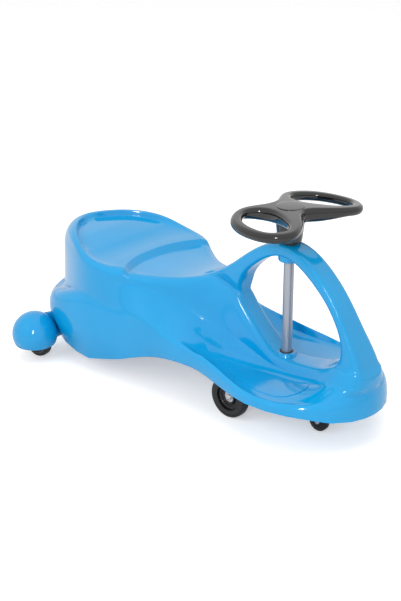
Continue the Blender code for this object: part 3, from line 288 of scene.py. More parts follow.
class NodeKit:
    """Short ways to build a material's nodes."""

    def __init__(self, name: str) -> None:
        """Start a Principled material with a given name."""
        self.material = bpy.data.materials.new(name)
        self.material.use_nodes = True
        self.tree = self.material.node_tree
        self.shader = self.tree.nodes["Principled BSDF"]
        self.place = self.tree.nodes.new("ShaderNodeTexCoord").outputs["Object"]

    @staticmethod
    def set(node: bpy.types.Node, **values: object) -> None:
        """Set a node's sockets; an underscore in a name stands for a space."""
        for key, value in values.items():
            node.inputs[key.replace("_", " ")].default_value = value

    def node(self, kind: str, **values: object) -> bpy.types.Node:
        """Add a node and set its sockets."""
        made = self.tree.nodes.new(kind)
        self.set(made, **values)
        return made

    def link(self, source: Socket, target: Socket) -> None:
        """Join two sockets."""
        self.tree.links.new(source, target)

    def noise(self, scale: float, detail: float, stretch: Triple = (1, 1, 1),
              roughness: float = 0.5) -> Socket:
        """Noise on the piece's own place, stretched by a factor along each axis."""
        mapping = self.node("ShaderNodeMapping", Scale=stretch)
        self.link(self.place, mapping.inputs["Vector"])
        made = self.node("ShaderNodeTexNoise", Scale=scale, Detail=detail,
                         Roughness=roughness)
        self.link(mapping.outputs["Vector"], made.inputs["Vector"])
        return made.outputs["Fac"]

    def tone(self, source: Socket, colour: Triple, low: Pair, high: Pair) -> None:
        """Base colour along a noise, from the low to the high (position, share of colour)."""
        made = self.node("ShaderNodeValToRGB")
        for element, (position, share) in zip(made.color_ramp.elements, (low, high)):
            element.position = position
            element.color = (*(min(1.0, c * share) for c in colour), 1.0)
        self.link(source, made.inputs["Fac"])
        self.link(made.outputs["Color"], self.shader.inputs["Base Color"])

    def rough(self, source: Socket, low: float, high: float) -> None:
        """Roughness along a noise, the middle of whose range maps onto low to high."""
        made = self.node("ShaderNodeMapRange", From_Min=0.3, From_Max=0.7, To_Min=low,
                         To_Max=high)
        self.link(source, made.inputs["Value"])
        self.link(made.outputs["Result"], self.shader.inputs["Roughness"])

    def bump(self, source: Socket, depth: float, under: Socket | None = None) -> Socket:
        """Bump of a given depth in metres, on top of another bump."""
        made = self.node("ShaderNodeBump", Strength=1.0, Distance=depth)
        self.link(source, made.inputs["Height"])
        if under is not None:
            self.link(under, made.inputs["Normal"])
        self.link(made.outputs["Normal"], self.shader.inputs["Normal"])
        return made.outputs["Normal"]


@dataclass(frozen=True)
class MouldedPlastic:
    """Moulded plastic: a faint drift of colour, a slightly wavy skin and fine grain."""

    name: str
    colour: Triple
    gloss: float
    waves: float = 0.0
    drift: float = 0.05
    coat: float = 0.0
    coat_gloss: float = 0.06
    refraction: float = 1.48
    grain: float = 0.000004
    drift_scale: float = 7.0
    gloss_scale: float = 60.0
    wave_scale: float = 11.0
    grain_scale: float = 2400.0

    def build(self) -> Material:
        """Make the material."""
        kit = NodeKit(self.name)
        kit.set(kit.shader, Coat_Weight=self.coat, Coat_Roughness=self.coat_gloss,
                IOR=self.refraction)
        kit.tone(kit.noise(self.drift_scale, 3.0), self.colour, (0.30, 1 - self.drift),
                 (0.70, 1 + self.drift))
        kit.rough(kit.noise(self.gloss_scale, 3.0), self.gloss * 0.85, self.gloss * 1.2)
        wavy = kit.bump(kit.noise(self.wave_scale, 1.0), self.waves)
        kit.bump(kit.noise(self.grain_scale, 1.0), self.grain, wavy)
        return kit.material


@dataclass(frozen=True)
class TyreSkin:
    """Hard black tyre: satin, with faint spots of wear and dust in the roughness."""

    name: str
    colour: Triple
    satin: Pair = (0.22, 0.34)
    grain: float = 0.00002
    dust_scale: float = 180.0
    wear_scale: float = 90.0
    grain_scale: float = 1500.0

    def build(self) -> Material:
        """Make the material."""
        kit = NodeKit(self.name)
        kit.tone(kit.noise(self.dust_scale, 4.0), self.colour, (0.35, 0.8), (0.7, 1.5))
        kit.rough(kit.noise(self.wear_scale, 4.0), *self.satin)
        kit.bump(kit.noise(self.grain_scale, 2.0), self.grain)
        return kit.material


@dataclass(frozen=True)
class BrushedMetal:
    """Metal with fine lines along one axis of the car."""

    name: str
    colour: Triple
    roughness: float
    metallic: float
    stretch: Triple
    line_scale: float = 400.0
    line_depth: float = 0.00001

    def build(self) -> Material:
        """Make the material."""
        kit = NodeKit(self.name)
        kit.set(kit.shader, Metallic=self.metallic)
        lines = kit.noise(self.line_scale, 4.0, self.stretch, roughness=0.6)
        kit.tone(lines, self.colour, (0.3, 0.88), (0.7, 1.06))
        kit.rough(lines, self.roughness * 0.8, self.roughness * 1.25)
        kit.bump(lines, self.line_depth)
        return kit.material


# ---------------------------------------------------------------- body


class Line(IntEnum):
    """Lines of half the body's net, from the skirt's hem up to the seat's middle."""

    (LOW, SKIRT, BULGE, UPPER, EDGE, BROW, WELL, FOOT, SLOPE, RIM, CREST, WALL, PAD,
     MIDDLE) = range(14)


@dataclass
class CarBody:
    """Hollow moulded body: a net of lines over the car that is smoothed into its skin."""

    column_x: float = 0.1891
    nose_reach: float = 0.204
    tail_reach: float = 0.585
    wall: float = 0.0040
    deck_half: float = 0.148
    haunch_half: float = 0.154
    seat_half: float = 0.1400
    seat_z: float = 0.245
    skirt_z: float = 0.080
    floor_z: float = 0.093
    low_z: float = 0.030
    arch_z: float = 0.342
    arch_half: float = 0.0240
    crest_z: float = 0.1175
    collar_r: float = 0.0200
    collar_top: float = 0.1245
    collar_bottom: float = 0.0880
    upper_collar_bottom: float = 0.3050
    bore_r: float = 0.0131
    nose_start: float = 0.127
    seat_turn: float = 0.674
    seat_front: float = 0.562
    ridge_from: float = 0.297
    # How far lines under the seat stand outside its rim, behind the seat's front.
    well_out: float = 0.0015
    foot_out: float = 0.001
    brow_out: float = 0.0025
    smooth_levels: int = 3
    hem_share: float = 0.972
    fold_share: float = 0.67
    tip_draw: float = 0.4
    end_half: float = 0.1
    middle_half: float = 0.03
    panel_rows: int = 110
    sharp_deg: float = 33.0
    tail_rows: tuple[float, ...] = (
        0.996, 0.985, 0.959, 0.923, 0.874, 0.812, 0.742, 0.674, 0.614, 0.562, 0.5265, 0.5160,
        0.460, 0.400, 0.349, 0.297, 0.246, 0.195, 0.163, 0.112, 0.067, 0.015)
    nose_angles: tuple[float, ...] = (0, 14, 27, 40, 55, 69, 80, 88)
    # How each line ends: power of its closing at the nose, metres it stops short of the
    # tail's reach and of the nose's reach.
    line_ends: tuple[Triple, ...] = (
        (1.0, 0.002, 0.0), (1.0, 0.001, 0.0), (1.0, 0.0, 0.0005), (1.0, 0.001, 0.002),
        (1.0, 0.003, 0.0040), (1.0, 0.004, 0.0062), (1.12, 0.005, 0.0078),
        (0.35, 0.0055, 0.0078), (0.38, 0.006, 0.0070), (0.42, 0.016, 0.0062),
        (0.45, 0.036, 0.0055), (0.45, 0.052, 0.0050), (0.45, 0.080, 0.0045))
    # Rows that bow backwards across the seat, and how far in the middle.
    bowed_rows: tuple[tuple[int, float], ...] = (
        (10, 0.050), (11, 0.041), (9, 0.040), (8, 0.024), (7, 0.011), (12, 0.026), (13, 0.010))
    step_rows: tuple[int, int] = (10, 11)
    # Crisp lines: line, first row, last row, crease.
    ridges: tuple[tuple[int, int, int, float], ...] = (
        (Line.EDGE, 0, 9, 0.95), (Line.WALL, 0, 6, 0.8), (Line.PAD, 0, 6, 0.8),
        (Line.WELL, 18, 28, 0.9), (Line.FOOT, 19, 25, 0.8), (Line.BROW, 17, 29, 0.4))
    # The seat's pan: depths where its wall starts and is fully steep, and how much steeper.
    pan_depths: Pair = (0.004, 0.011)
    pan_shares: Triple = (-0.28, -0.28, 0.40)
    # Rows of the skin at the outer and the inner face of the arch's rear and front leg.
    leg_rows: tuple[tuple[int, int], ...] = ((15, 17), (27, 25))
    leg_flare: tuple[float, ...] = (
        1.06, 1.0, 1.0, 1.0, 1.0, 1.0, 1.0, 1.0, 1.0, 1.01, 1.05, 1.13, 1.25, 1.38)
    toe_moves: tuple[float, ...] = (0.005, 0.010, 0.0125, 0.0125)
    arch_outer: Knots = (
        (-0.142, 0.084), (-0.117, 0.066), (-0.092, 0.045), (-0.064, 0.0235), (-0.032, 0.006),
        (0.0, 0.0), (0.037, 0.008), (0.067, 0.026), (0.092, 0.047), (0.115, 0.072),
        (0.1355, 0.101), (0.1535, 0.131), (0.171, 0.157), (0.1845, 0.180))
    arch_inner: Knots = (
        (-0.1008, 0.113), (-0.0985, 0.097), (-0.086, 0.075), (-0.056, 0.049),
        (-0.029, 0.0315), (0.0, 0.0235), (0.029, 0.029), (0.056, 0.046), (0.078, 0.064),
        (0.101, 0.085), (0.120, 0.110), (0.136, 0.137), (0.1425, 0.160), (0.1415, 0.181))
    face_shares: tuple[float, ...] = (-1.0, -0.42, 0.42, 1.0)
    side_bulge: float = 0.001
    panel_far: Knots = (
        (-0.116, 0.050), (-0.114, 0.060), (-0.108, 0.070), (-0.085, 0.087), (-0.036, 0.107),
        (0.026, 0.117), (0.060, 0.114), (0.080, 0.105), (0.094, 0.088), (0.099, 0.078),
        (0.100, 0.068))
    panel_near: Knots = (
        (-0.116, 0.050), (-0.113, 0.041), (-0.104, 0.036), (-0.085, 0.0345),
        (-0.059, 0.035), (0.0, 0.0365), (0.050, 0.039), (0.085, 0.046), (0.097, 0.056),
        (0.100, 0.068))
    panel_lift: float = 0.0014
    panel_sink: float = 0.0006
    panel_from_z: float = 0.1250
    # Across a panel: close to its edges, then evenly between them.
    panel_shares: tuple[float, ...] = (
        0.0, 0.012, *np.linspace(0.03, 0.97, 34).tolist(), 0.988, 1.0)

    def stations(self) -> Points:
        """Distance of each row ahead of the steering axis."""
        tail = -self.tail_reach * np.array(self.tail_rows)
        start = self.nose_start * self.nose_reach
        nose = start + (self.nose_reach - start) * np.sin(np.radians(self.nose_angles))
        return np.concatenate([tail, nose])

    def outlines(self, x: Points) -> list[tuple[Points, Points]]:
        """Half width and height of each line of the net at each distance ahead.

        Each is a smooth curve through knots, written as thousandths of the tail's reach
        (below 0) or the nose's reach against millimetres, or thousandths of a share.

        Args:
            x: distances ahead of the steering axis.

        Returns:
            (half width, height) of each line from the hem to the seat's middle.
        """
        wide, seat, haunch, low, skirt, floor, crest = 1000 * np.array([
            self.deck_half, self.seat_half, self.haunch_half, self.low_z, self.skirt_z,
            self.floor_z, self.crest_z])

        def at(knots: dict[float, float]) -> Points:
            """Read a curve whose knots and values are in thousandths."""
            scaled = [(k / 1000 * (self.tail_reach if k < 0 else self.nose_reach), value / 1000)
                      for k, value in knots.items()]
            return curve(scaled, x)

        plan = at({-1000: 0, -996: 10, -985: 30, -959: 50, -923: 70, -874: 90, -812: 110,
            -742: 129, -674: seat, -614: seat, -562: seat - 6, -535: seat - 16, -509: seat - 23,
            -460: 96.5, -400: 74, -349: 59, -297: 40.5, -246: 31, -195: 28.5, -109: 27, 127: 27,
            450: 32, 680: 47, 1000: 66})
        rim = at({-1000: 21.5, -923: 22, -874: 20.5, -812: 16.5, -742: 8.5, -674: -1.5, -614: -6,
            -562: -7.5, -526.5: -8.5, -516: -16.5, -500: -20, -460: -21.5, -400: -20.5, -349: -15,
            -297: -7.5}) + self.seat_z
        spine = at({-297: 238.5, -246: 237, -195: 217, -152: 196, -109: crest + 50,
            -67: crest + 24.5, -15: crest + 2.5, 127: crest + 1.5, 338: crest + 7,
            524: crest + 15, 688: 153, 850: 151, 942: 152, 985: 142, 1000: 131})
        ahead = x > -self.ridge_from * self.tail_reach
        low_w = at({-1000: 0, -996: 14, -985: 40, -959: 68, -923: 95, -874: 118,
            -812: haunch - 24, -742: haunch - 16, -674: haunch - 13, -614: haunch - 17, -535: 132,
            -460: 127.5, -349: 124, -246: 124, -152: 127.5, -85: wide - 14, -15: wide - 5,
            127: wide - 1})
        low_z = at({-1000: low + 27, -923: low + 22, -812: low + 6.5, -742: low + 1.5, -674: low,
            -614: low + 8, -535: 51, -460: 68, -400: skirt, -297: skirt + 10, -195: skirt + 12.5,
            -144: skirt + 8.5, -85: skirt + 3.5, 30: skirt, 370: skirt - 2.5, 650: skirt - 5,
            887: skirt - 13.5, 1000: skirt - 15})
        bulge_w = at({-1000: 0, -996: 20, -985: 54, -959: 88, -923: 117, -874: 139.5,
            -812: haunch - 2, -742: haunch + 1, -674: haunch, -614: haunch - 6, -535: 139.5,
            -460: 134.5, -349: 129, -246: 126.5, -152: 130, -85: wide - 12, -15: wide - 3.5,
            127: wide})
        bulge_z = at({-1000: 96, -874: 98, -742: 102, -614: 104, -535: 112, -460: 119, -400: 116,
            -297: 110, -195: 104, -109: 98, -15: skirt + 9, 127: skirt + 7, 520: skirt + 4.5,
            887: skirt, 1000: skirt - 0.5})
        upper_w = at({-1000: 0, -996: 18.5, -985: 51, -959: 84, -923: 112, -874: 134.5,
            -812: haunch - 7, -742: haunch - 6, -674: haunch - 5.5, -614: haunch - 8.5, -535: 139,
            -460: 133.5, -349: 128.5, -246: 127, -152: 130.5, -85: wide - 12, -15: wide - 3,
            127: wide + 0.5})
        upper_z = at({-1000: 125, -923: 131, -874: 141, -812: 151, -742: 159, -674: 157,
            -614: 147, -535: 140, -460: 141, -400: 136, -297: 121, -195: 112.5, -109: 105,
            -15: skirt + 15.5, 127: skirt + 10.5, 520: skirt + 8.5, 1000: skirt + 8})
        edge_w = at({-1000: 0, -996: 12, -985: 31, -959: 52, -923: 74, -874: 93.5, -812: 113.5,
            -742: 131, -674: seat + 1.5, -614: seat + 0.5, -562: 137.5, -509: 132, -460: 130.5,
            -349: 128, -246: 126.5, -152: 129.5, -85: wide - 12, -15: wide - 3.5, 127: wide})
        edge_z = at({-1000: 127, -923: 131, -874: 141, -812: 154, -742: 167, -674: 171, -614: 161,
            -562: 154, -509: 158, -460: 158, -400: 148, -349: 136, -297: 128.5, -246: 125,
            -195: 121.5, -152: 117.5, -109: 112.5, -15: floor + 8, 127: floor + 1.5,
            370: floor - 0.5, 650: floor + 0.5, 1000: floor + 4})
        brow_w = at({-674: 0, -562: -1, -509: -2, -460: -3, -400: -4, -349: -4.5, -297: -5.5,
            -246: -6.5, 127: -6.5}) + edge_w
        brow_z = at({-674: 12, -509: 11, -460: 9, -400: 8, -349: 7, -297: 6.2, -246: 5.5,
            127: 4.5, 1000: 7}) + edge_z
        well_w = at({-562: seat - 5, -535: 127, -509: 121, -460: 111, -400: 104, -349: 105,
            -246: 111, -152: 117, -67: wide - 22.5, 127: wide - 13.5})
        well_z = at({-1000: 180, -874: 186, -562: 194, -509: 197, -460: 191, -400: 174,
            -349: 155.5, -297: 139, -246: 122.5, -195: 108.5, -163: floor + 8.5,
            -112: floor + 4.5, -67: floor + 4, -15: floor + 2.5, 127: floor + 1, 370: floor - 0.5,
            505: floor + 1, 650: floor + 6, 770: floor + 13, 1000: floor + 18})
        foot_w = at({-562: seat - 5.5, -535: 123.5, -509: 115.5, -460: 100, -400: 82, -349: 70,
            -297: 61, -246: 53, -195: 46, -152: 40, -109: 36, -67: 34, 127: 34, 490: 43, 750: 61,
            1000: 68})
        foot_z = at({-1000: 212, -562: 212, -509: 211, -460: 204, -400: 191, -349: 179, -297: 160,
            -246: 135, -195: 113, -163: floor + 10, -112: floor + 3.5, -15: floor + 1,
            127: floor + 1.5, 309: floor + 5, 470: floor + 13, 620: floor + 24, 735: floor + 28,
            1000: floor + 26})
        behind = x < -self.seat_front * self.tail_reach
        well_w = np.where(behind, plan + self.well_out, well_w)
        foot_w = np.where(behind, plan + self.foot_out, foot_w)
        turned_in = x < -self.seat_turn * self.tail_reach
        brow_w = np.where(turned_in, plan + self.brow_out, brow_w)
        drop = at({-1000: 17.5, -874: 15.5, -742: 8.5, -674: 7, -562: 6, -349: 5, -297: 6,
            -246: 20, -195: 18, -152: 18, -109: 11.5, -67: 6.5, 127: 5.5, 524: 5.5, 688: 9,
            887: 10, 1000: 17})
        ridge = np.where(ahead, spine, rim)
        rim_w, rim_z = plan, ridge - drop
        crest_w = plan * at({-1000: 900, -959: 960, -874: 1040, -812: 1050, -742: 1000, -674: 945,
            -562: 915, -460: 890, -349: 830, -297: 780, -195: 820, -109: 760, 500: 800, 750: 930,
            1000: 950})
        crest_z = ridge - drop * at({-562: 0, -349: 100, -246: 330, 1000: 360})
        pad_w = plan * at({-1000: 800, -959: 860, -874: 920, -812: 920, -742: 880, -674: 830,
            -535: 810, -460: 770, -349: 650, -297: 530, -246: 580, -109: 600, 500: 660, 750: 850,
            1000: 880})
        pad_z = ridge - at({-1000: 11.5, -923: 13, -812: 13, -742: 9.5, -674: 5, -614: 3, -562: 1,
            -526.5: 0.5, -516: 3.5, -500: 1.5, -460: 0.4, -297: 0.5, -109: 1, 1000: 1})
        mid_w = plan * at({-1000: 400, -400: 400, -297: 200, 1000: 200})
        mid_z = pad_z + at({-1000: 0, -349: 0, -195: 0.5, 1000: 0.5})
        return [
            (low_w, low_z), (0.5 * (low_w + bulge_w) + 0.001, 0.5 * (low_z + bulge_z)),
            (bulge_w, bulge_z), (upper_w, upper_z), (edge_w, edge_z), (brow_w, brow_z),
            (well_w, well_z), (foot_w, foot_z),
            (0.5 * (foot_w + rim_w), 0.5 * (foot_z + rim_z)), (rim_w, rim_z),
            (crest_w, crest_z), (pad_w, pad_z), (mid_w, mid_z)]

    def half_net(self) -> Points:
        """Half of the net: distance ahead, half width and height of each line at each row.

        Towards the nose a half width shrinks with the square root of one minus the share
        of the way squared, raised to the line's power. Behind the seat's turn and along
        the nose, distances shrink evenly so that the line stops short of the reach. A
        bowed row moves back by its give times one minus the share of the rim's half
        width squared.
        """
        x = self.stations()
        start, turn = self.nose_start * self.nose_reach, -self.seat_turn * self.tail_reach
        nose, tail = self.nose_reach - start, self.tail_reach + turn
        closing = np.sqrt(1 - np.clip((x - start) / nose, 0, 1) ** 2)
        net = np.empty((len(x), len(self.line_ends), 3))
        for i, ((width, height), ends) in enumerate(zip(self.outlines(x), self.line_ends)):
            power, short_tail, short_nose = ends
            back = turn + (x - turn) * (tail - short_tail) / tail
            front = start + (x - start) * (nose - short_nose) / nose
            net[:, i, 0] = np.where(x < turn, back, np.where(x > start, front, x))
            net[:, i, 1] = width * closing ** power
            net[:, i, 2] = height
        for row, give in self.bowed_rows:
            share = net[row, Line.CREST:, 1] / net[row, Line.RIM, 1]
            net[row, Line.CREST:, 0] -= give * (1 - share ** 2)
        net[self.leg_rows[0][1], Line.RIM:, 0] += self.toe_moves
        return net

    def walled(self, half: Points) -> Points:
        """Net with one more line, the top of the wall round the seat's pan.

        It lies between the rim's crest and the pan's foot: halfway where they are level,
        and nearly above the foot where the pan is deep.
        """
        crest, foot = half[:, Line.CREST], half[:, Line.CREST + 1]
        deep = smoothstep(*self.pan_depths, crest[:, 2] - foot[:, 2])
        share = 0.5 + deep[:, None] * self.pan_shares
        return np.insert(half, Line.WALL, foot + (crest - foot) * share, axis=1)

    @staticmethod
    def end_faces(rows: int, width: int) -> Points:
        """Faces that close the first and the last row of a net from side to side."""
        i = np.arange(width // 2 - 1)
        return np.vstack([
            np.stack([first + i, first + i + 1, first + width - 2 - i, first + width - 1 - i], 1)
            for first in (0, (rows - 1) * width)])

    def net(self, with_arch: bool) -> tuple[Points, Points, list[tuple[int, int, float]]]:
        """Whole net with its faces, closed below so that its faces can be turned outwards.

        Args:
            with_arch: add the arch's tube of ten-point rings and open the skin for its legs.

        Returns:
            Points, faces (those that close it below come last) and (point, point, crease).
        """
        half = self.walled(self.half_net()) if with_arch else self.half_net()
        rows, lines = half.shape[:2]
        width = 2 * lines
        ring = np.concatenate([half * (1, -1, 1), half[:, ::-1]], 1) + (self.column_x, 0, 0)
        points = ring.reshape(-1, 3)
        faces = grid_quads(rows, width, close_cols=False).reshape(rows - 1, width - 1, 4)
        keep = np.ones((rows - 1, width - 1), bool)
        creases = [(row * width + k, row * width + k + 1, 1.0)
                   for row in self.step_rows for k in range(Line.RIM, width - 1 - Line.RIM)]
        tube = np.empty((0, 4), int)
        if with_arch:
            for leg in self.leg_rows:
                keep[min(leg):max(leg), lines - 2:lines + 1] = False
            tube = self.arch_faces(len(points), width, lines)
            points = np.vstack([points, self.arch_rings()])
            creases += [(r * width + k, (r + 1) * width + k, crease)
                        for line, first, last, crease in self.ridges
                        for r in range(first, last) for k in (line, width - 1 - line)]
        hem = np.arange(rows) * width
        below = np.stack([hem[:-1], hem[1:], hem[1:] + width - 1, hem[:-1] + width - 1], 1)
        faces = np.vstack([faces[keep], self.end_faces(rows, width), tube, below])
        return points, faces, creases

    def arch_rings(self) -> Points:
        """Rings of ten points along the arch: its outer face, a side, its inner face, a side."""
        outer, inner = np.array(self.arch_outer), np.array(self.arch_inner)
        shares = np.array(self.face_shares) * self.arch_half
        side = self.arch_half + self.side_bulge
        flare = np.array(self.leg_flare)[:, None]

        def across(edge: Points, y: Points) -> Points:
            """One row of points over the arch's width at each ring."""
            x = np.repeat(edge[:, :1], len(y), 1)
            z = np.repeat(self.arch_z - edge[:, 1:], len(y), 1)
            return np.stack([self.column_x + x, y[None, :] * flare, z], -1)

        middle = (outer + inner) / 2
        rings = [across(outer, shares), across(middle, np.array([side])),
                 across(inner, shares[::-1]), across(middle, np.array([-side]))]
        return np.concatenate(rings, 1).reshape(-1, 3)

    def arch_faces(self, first: int, width: int, lines: int) -> Points:
        """Faces of the arch's tube, from the ring of skin points at one leg to the other."""
        span = np.arange(lines - 2, lines + 2)

        def mouth(outer: int, inner: int) -> Points:
            """Ring of skin points round a leg's opening."""
            middle = (outer + inner) // 2
            return np.concatenate([outer * width + span, [middle * width + span[3]],
                                   inner * width + span[::-1], [middle * width + span[0]]])

        rear, front = (mouth(*leg) for leg in self.leg_rows)
        rings = first + np.arange(len(self.arch_outer) * len(rear)).reshape(-1, len(rear))
        loops = np.vstack([rear, rings, front])
        nxt = np.roll(loops, -1, 1)
        return np.stack([loops[:-1], nxt[:-1], nxt[1:], loops[1:]], -1).reshape(-1, 4)

    @staticmethod
    def smoothed(points: Points, faces: Points, creases: Sequence[tuple[int, int, float]],
                 levels: int, open_last: int = 0) -> tuple[Points, Points, Points]:
        """Subdivide a net into a smooth skin.

        Args:
            points: the net's points.
            faces: its faces.
            creases: (point, point, crease) of edges that stay crisp.
            levels: times that each face is divided in four.
            open_last: number of faces at the end of the list to take out after turning.

        Returns:
            Points, faces and point normals of the skin.
        """
        used, numbers = np.unique(faces, return_inverse=True)
        mesh = raw_mesh(points[used], numbers.reshape(faces.shape))
        shape = bmesh.new()
        shape.from_mesh(mesh)
        bmesh.ops.recalc_face_normals(shape, faces=shape.faces)
        shape.faces.ensure_lookup_table()
        if open_last:
            bmesh.ops.delete(shape, geom=shape.faces[-open_last:], context="FACES_ONLY")
        shape.to_mesh(mesh)
        shape.free()
        ends = np.empty(len(mesh.edges) * 2, int)
        mesh.edges.foreach_get("vertices", ends)
        a, b, sharp = np.array(creases).T
        table = np.zeros((len(points), len(points)))
        table[a.astype(int), b.astype(int)] = sharp
        crisp = np.maximum(table, table.T)[tuple(used[ends].reshape(-1, 2).T)]
        mesh.attributes.new("crease_edge", "FLOAT", "EDGE").data.foreach_set("value", crisp)
        points, corners, normals = modified(mesh, "SUBSURF", levels=levels, render_levels=levels)
        return points, corners.reshape(-1, 4), normals

    def skin(self) -> Mesh:
        """Outer skin with the arch, open below."""
        points, faces, creases = self.net(with_arch=True)
        below = len(self.stations()) - 1
        points, faces, _ = self.smoothed(points, faces, creases, self.smooth_levels, below)
        return shaded(raw_mesh(points, faces), self.sharp_deg)

    def lining(self) -> Mesh:
        """Inner wall and the lower edge that joins it to the skin.

        Each point is the smoothed net's point moved against its normal by the wall. Under
        the deck's rim, where the wall folds, two lines run straight from side to floor,
        and the middle of the nose is drawn towards the lines beside it.
        """
        points, faces, creases = self.net(with_arch=False)
        rows = len(self.stations())
        width = len(points) // rows
        smooth, _, normal = self.smoothed(points, faces, creases, levels=1)
        inner = smooth[:len(points)] - normal[:len(points)] * self.wall
        inner = inner.reshape(rows, width, 3)
        hem = points.reshape(rows, width, 3)[:, [0, -1]]
        inner[:, [0, -1]] = hem * (1, self.hem_share, 1)
        at_end = np.abs(hem[:, 0, 1]) < self.end_half
        inner[:, 0, 0] -= np.sign(inner[:, 0, 0]) * self.wall * at_end
        inner[:, -1, 0] = inner[:, 0, 0]
        fold, span = self.leg_rows[0][0], np.arange(Line.UPPER, Line.WELL + 1)
        for near, a, b, far in (span, width - 1 - span):
            for line, share in ((a, self.fold_share), (b, 1 - self.fold_share)):
                inner[fold:, line] = inner[fold:, near] * share + inner[fold:, far] * (1 - share)
        left = width // 2
        tip, beside = slice(left - 3, left + 3), [left - 4] * 3 + [left + 3] * 3
        draw = self.tip_draw
        inner[-1, tip] = draw * inner[-1, beside] + (1 - draw) * inner[-2, tip]
        full = np.concatenate([hem[:, :1], inner, hem[:, 1:]], 1)
        wide = width + 2
        faces = np.vstack([grid_quads(rows, wide, close_cols=False), self.end_faces(rows, wide)])
        lip = [(r * wide + k, (r + 1) * wide + k, 1.0)
               for r in range(rows - 1) for k in (1, wide - 2)]
        points, faces, _ = self.smoothed(full.reshape(-1, 3), faces, lip, self.smooth_levels)
        mesh = raw_mesh(points, faces)
        corner = points[faces]
        up = np.cross(corner[:, 2] - corner[:, 0], corner[:, 3] - corner[:, 1])[:, 2]
        if up[np.abs(corner[..., 1].mean(1)) < self.middle_half].sum() > 0:
            mesh.flip_normals()
        mesh.shade_smooth()
        return mesh

    def collars(self) -> list[tuple[str, Mesh]]:
        """Round collars of the body where the column goes through the arch and the deck."""
        bore, r, low = self.bore_r, self.collar_r, self.upper_collar_bottom
        deck = [(bore, self.collar_bottom, 0), (r, self.collar_bottom, 0.001),
                (r + 0.003, self.crest_z - 0.003, 0.002), (r, self.crest_z + 0.002, 0.003),
                (r - 0.002, self.collar_top, 0.0015), (bore, self.collar_top, 0)]
        arch = [(bore, low, 0), (r, low, 0.003), (r + 0.001, self.arch_z - 0.008, 0),
                (bore, self.arch_z - 0.008, 0)]
        centre = (self.column_x, 0, 0)
        return [(name, turned(rounded(corners), 64, Axis.Z, centre, closed=True))
                for name, corners in (("deck_collar", deck), ("arch_collar", arch))]

    def floor_panel(self, side: int, skin: Object) -> Mesh:
        """Thin raised panel of the deck beside the tunnel, laid on the skin.

        Its inner points stand above the skin by the lift, its edge and underside lie below
        it by the sink, so it is closed.

        Args:
            side: 1 for the left, -1 for the right.
            skin: the body's skin, onto which the flat panel is dropped.

        Returns:
            The mesh.
        """
        first, last = self.panel_far[0][0], self.panel_far[-1][0]
        step = np.linspace(0, math.pi, self.panel_rows)
        x = first + (last - first) * 0.5 * (1 - np.cos(step))
        near, far = curve(self.panel_near, x), curve(self.panel_far, x)
        y = near[:, None] + np.maximum(far - near, 0)[:, None] * self.panel_shares
        flat = np.stack([np.broadcast_to(self.column_x + x[:, None], y.shape), side * y,
                         np.full(y.shape, self.panel_from_z)], -1)
        faces = grid_quads(*y.shape, close_cols=False)
        top = modified(raw_mesh(flat.reshape(-1, 3), faces), "SHRINKWRAP", target=skin,
                       wrap_method="PROJECT", use_project_z=True,
                       use_negative_direction=True, use_positive_direction=False)[0]
        top = top.reshape(flat.shape)
        under = top.copy()
        top[1:-1, 1:-1, 2] += self.panel_lift + self.panel_sink
        under[1:-1, 1:-1, 2] -= self.panel_sink
        both = np.concatenate([top, under]).reshape(-1, 3) - (0, 0, self.panel_sink)
        return mesh_of(both, np.vstack([faces, faces[:, ::-1] + y.size]), smooth_deg=30.0)

    def build(self, blue: Material) -> None:
        """Make the body's pieces in one finish."""
        skin = piece("body_skin", self.skin(), blue, "car", ["body_shell"])
        for tag, side in SIDES:
            piece(f"deck_panel_{tag}", self.floor_panel(side, skin), blue, "car")
        piece("body_lining", self.lining(), blue, "car", ["body_shell"])
        for name, mesh in self.collars():
            piece(name, mesh, blue, "car")


# ---------------------------------------------------------------- rear axle


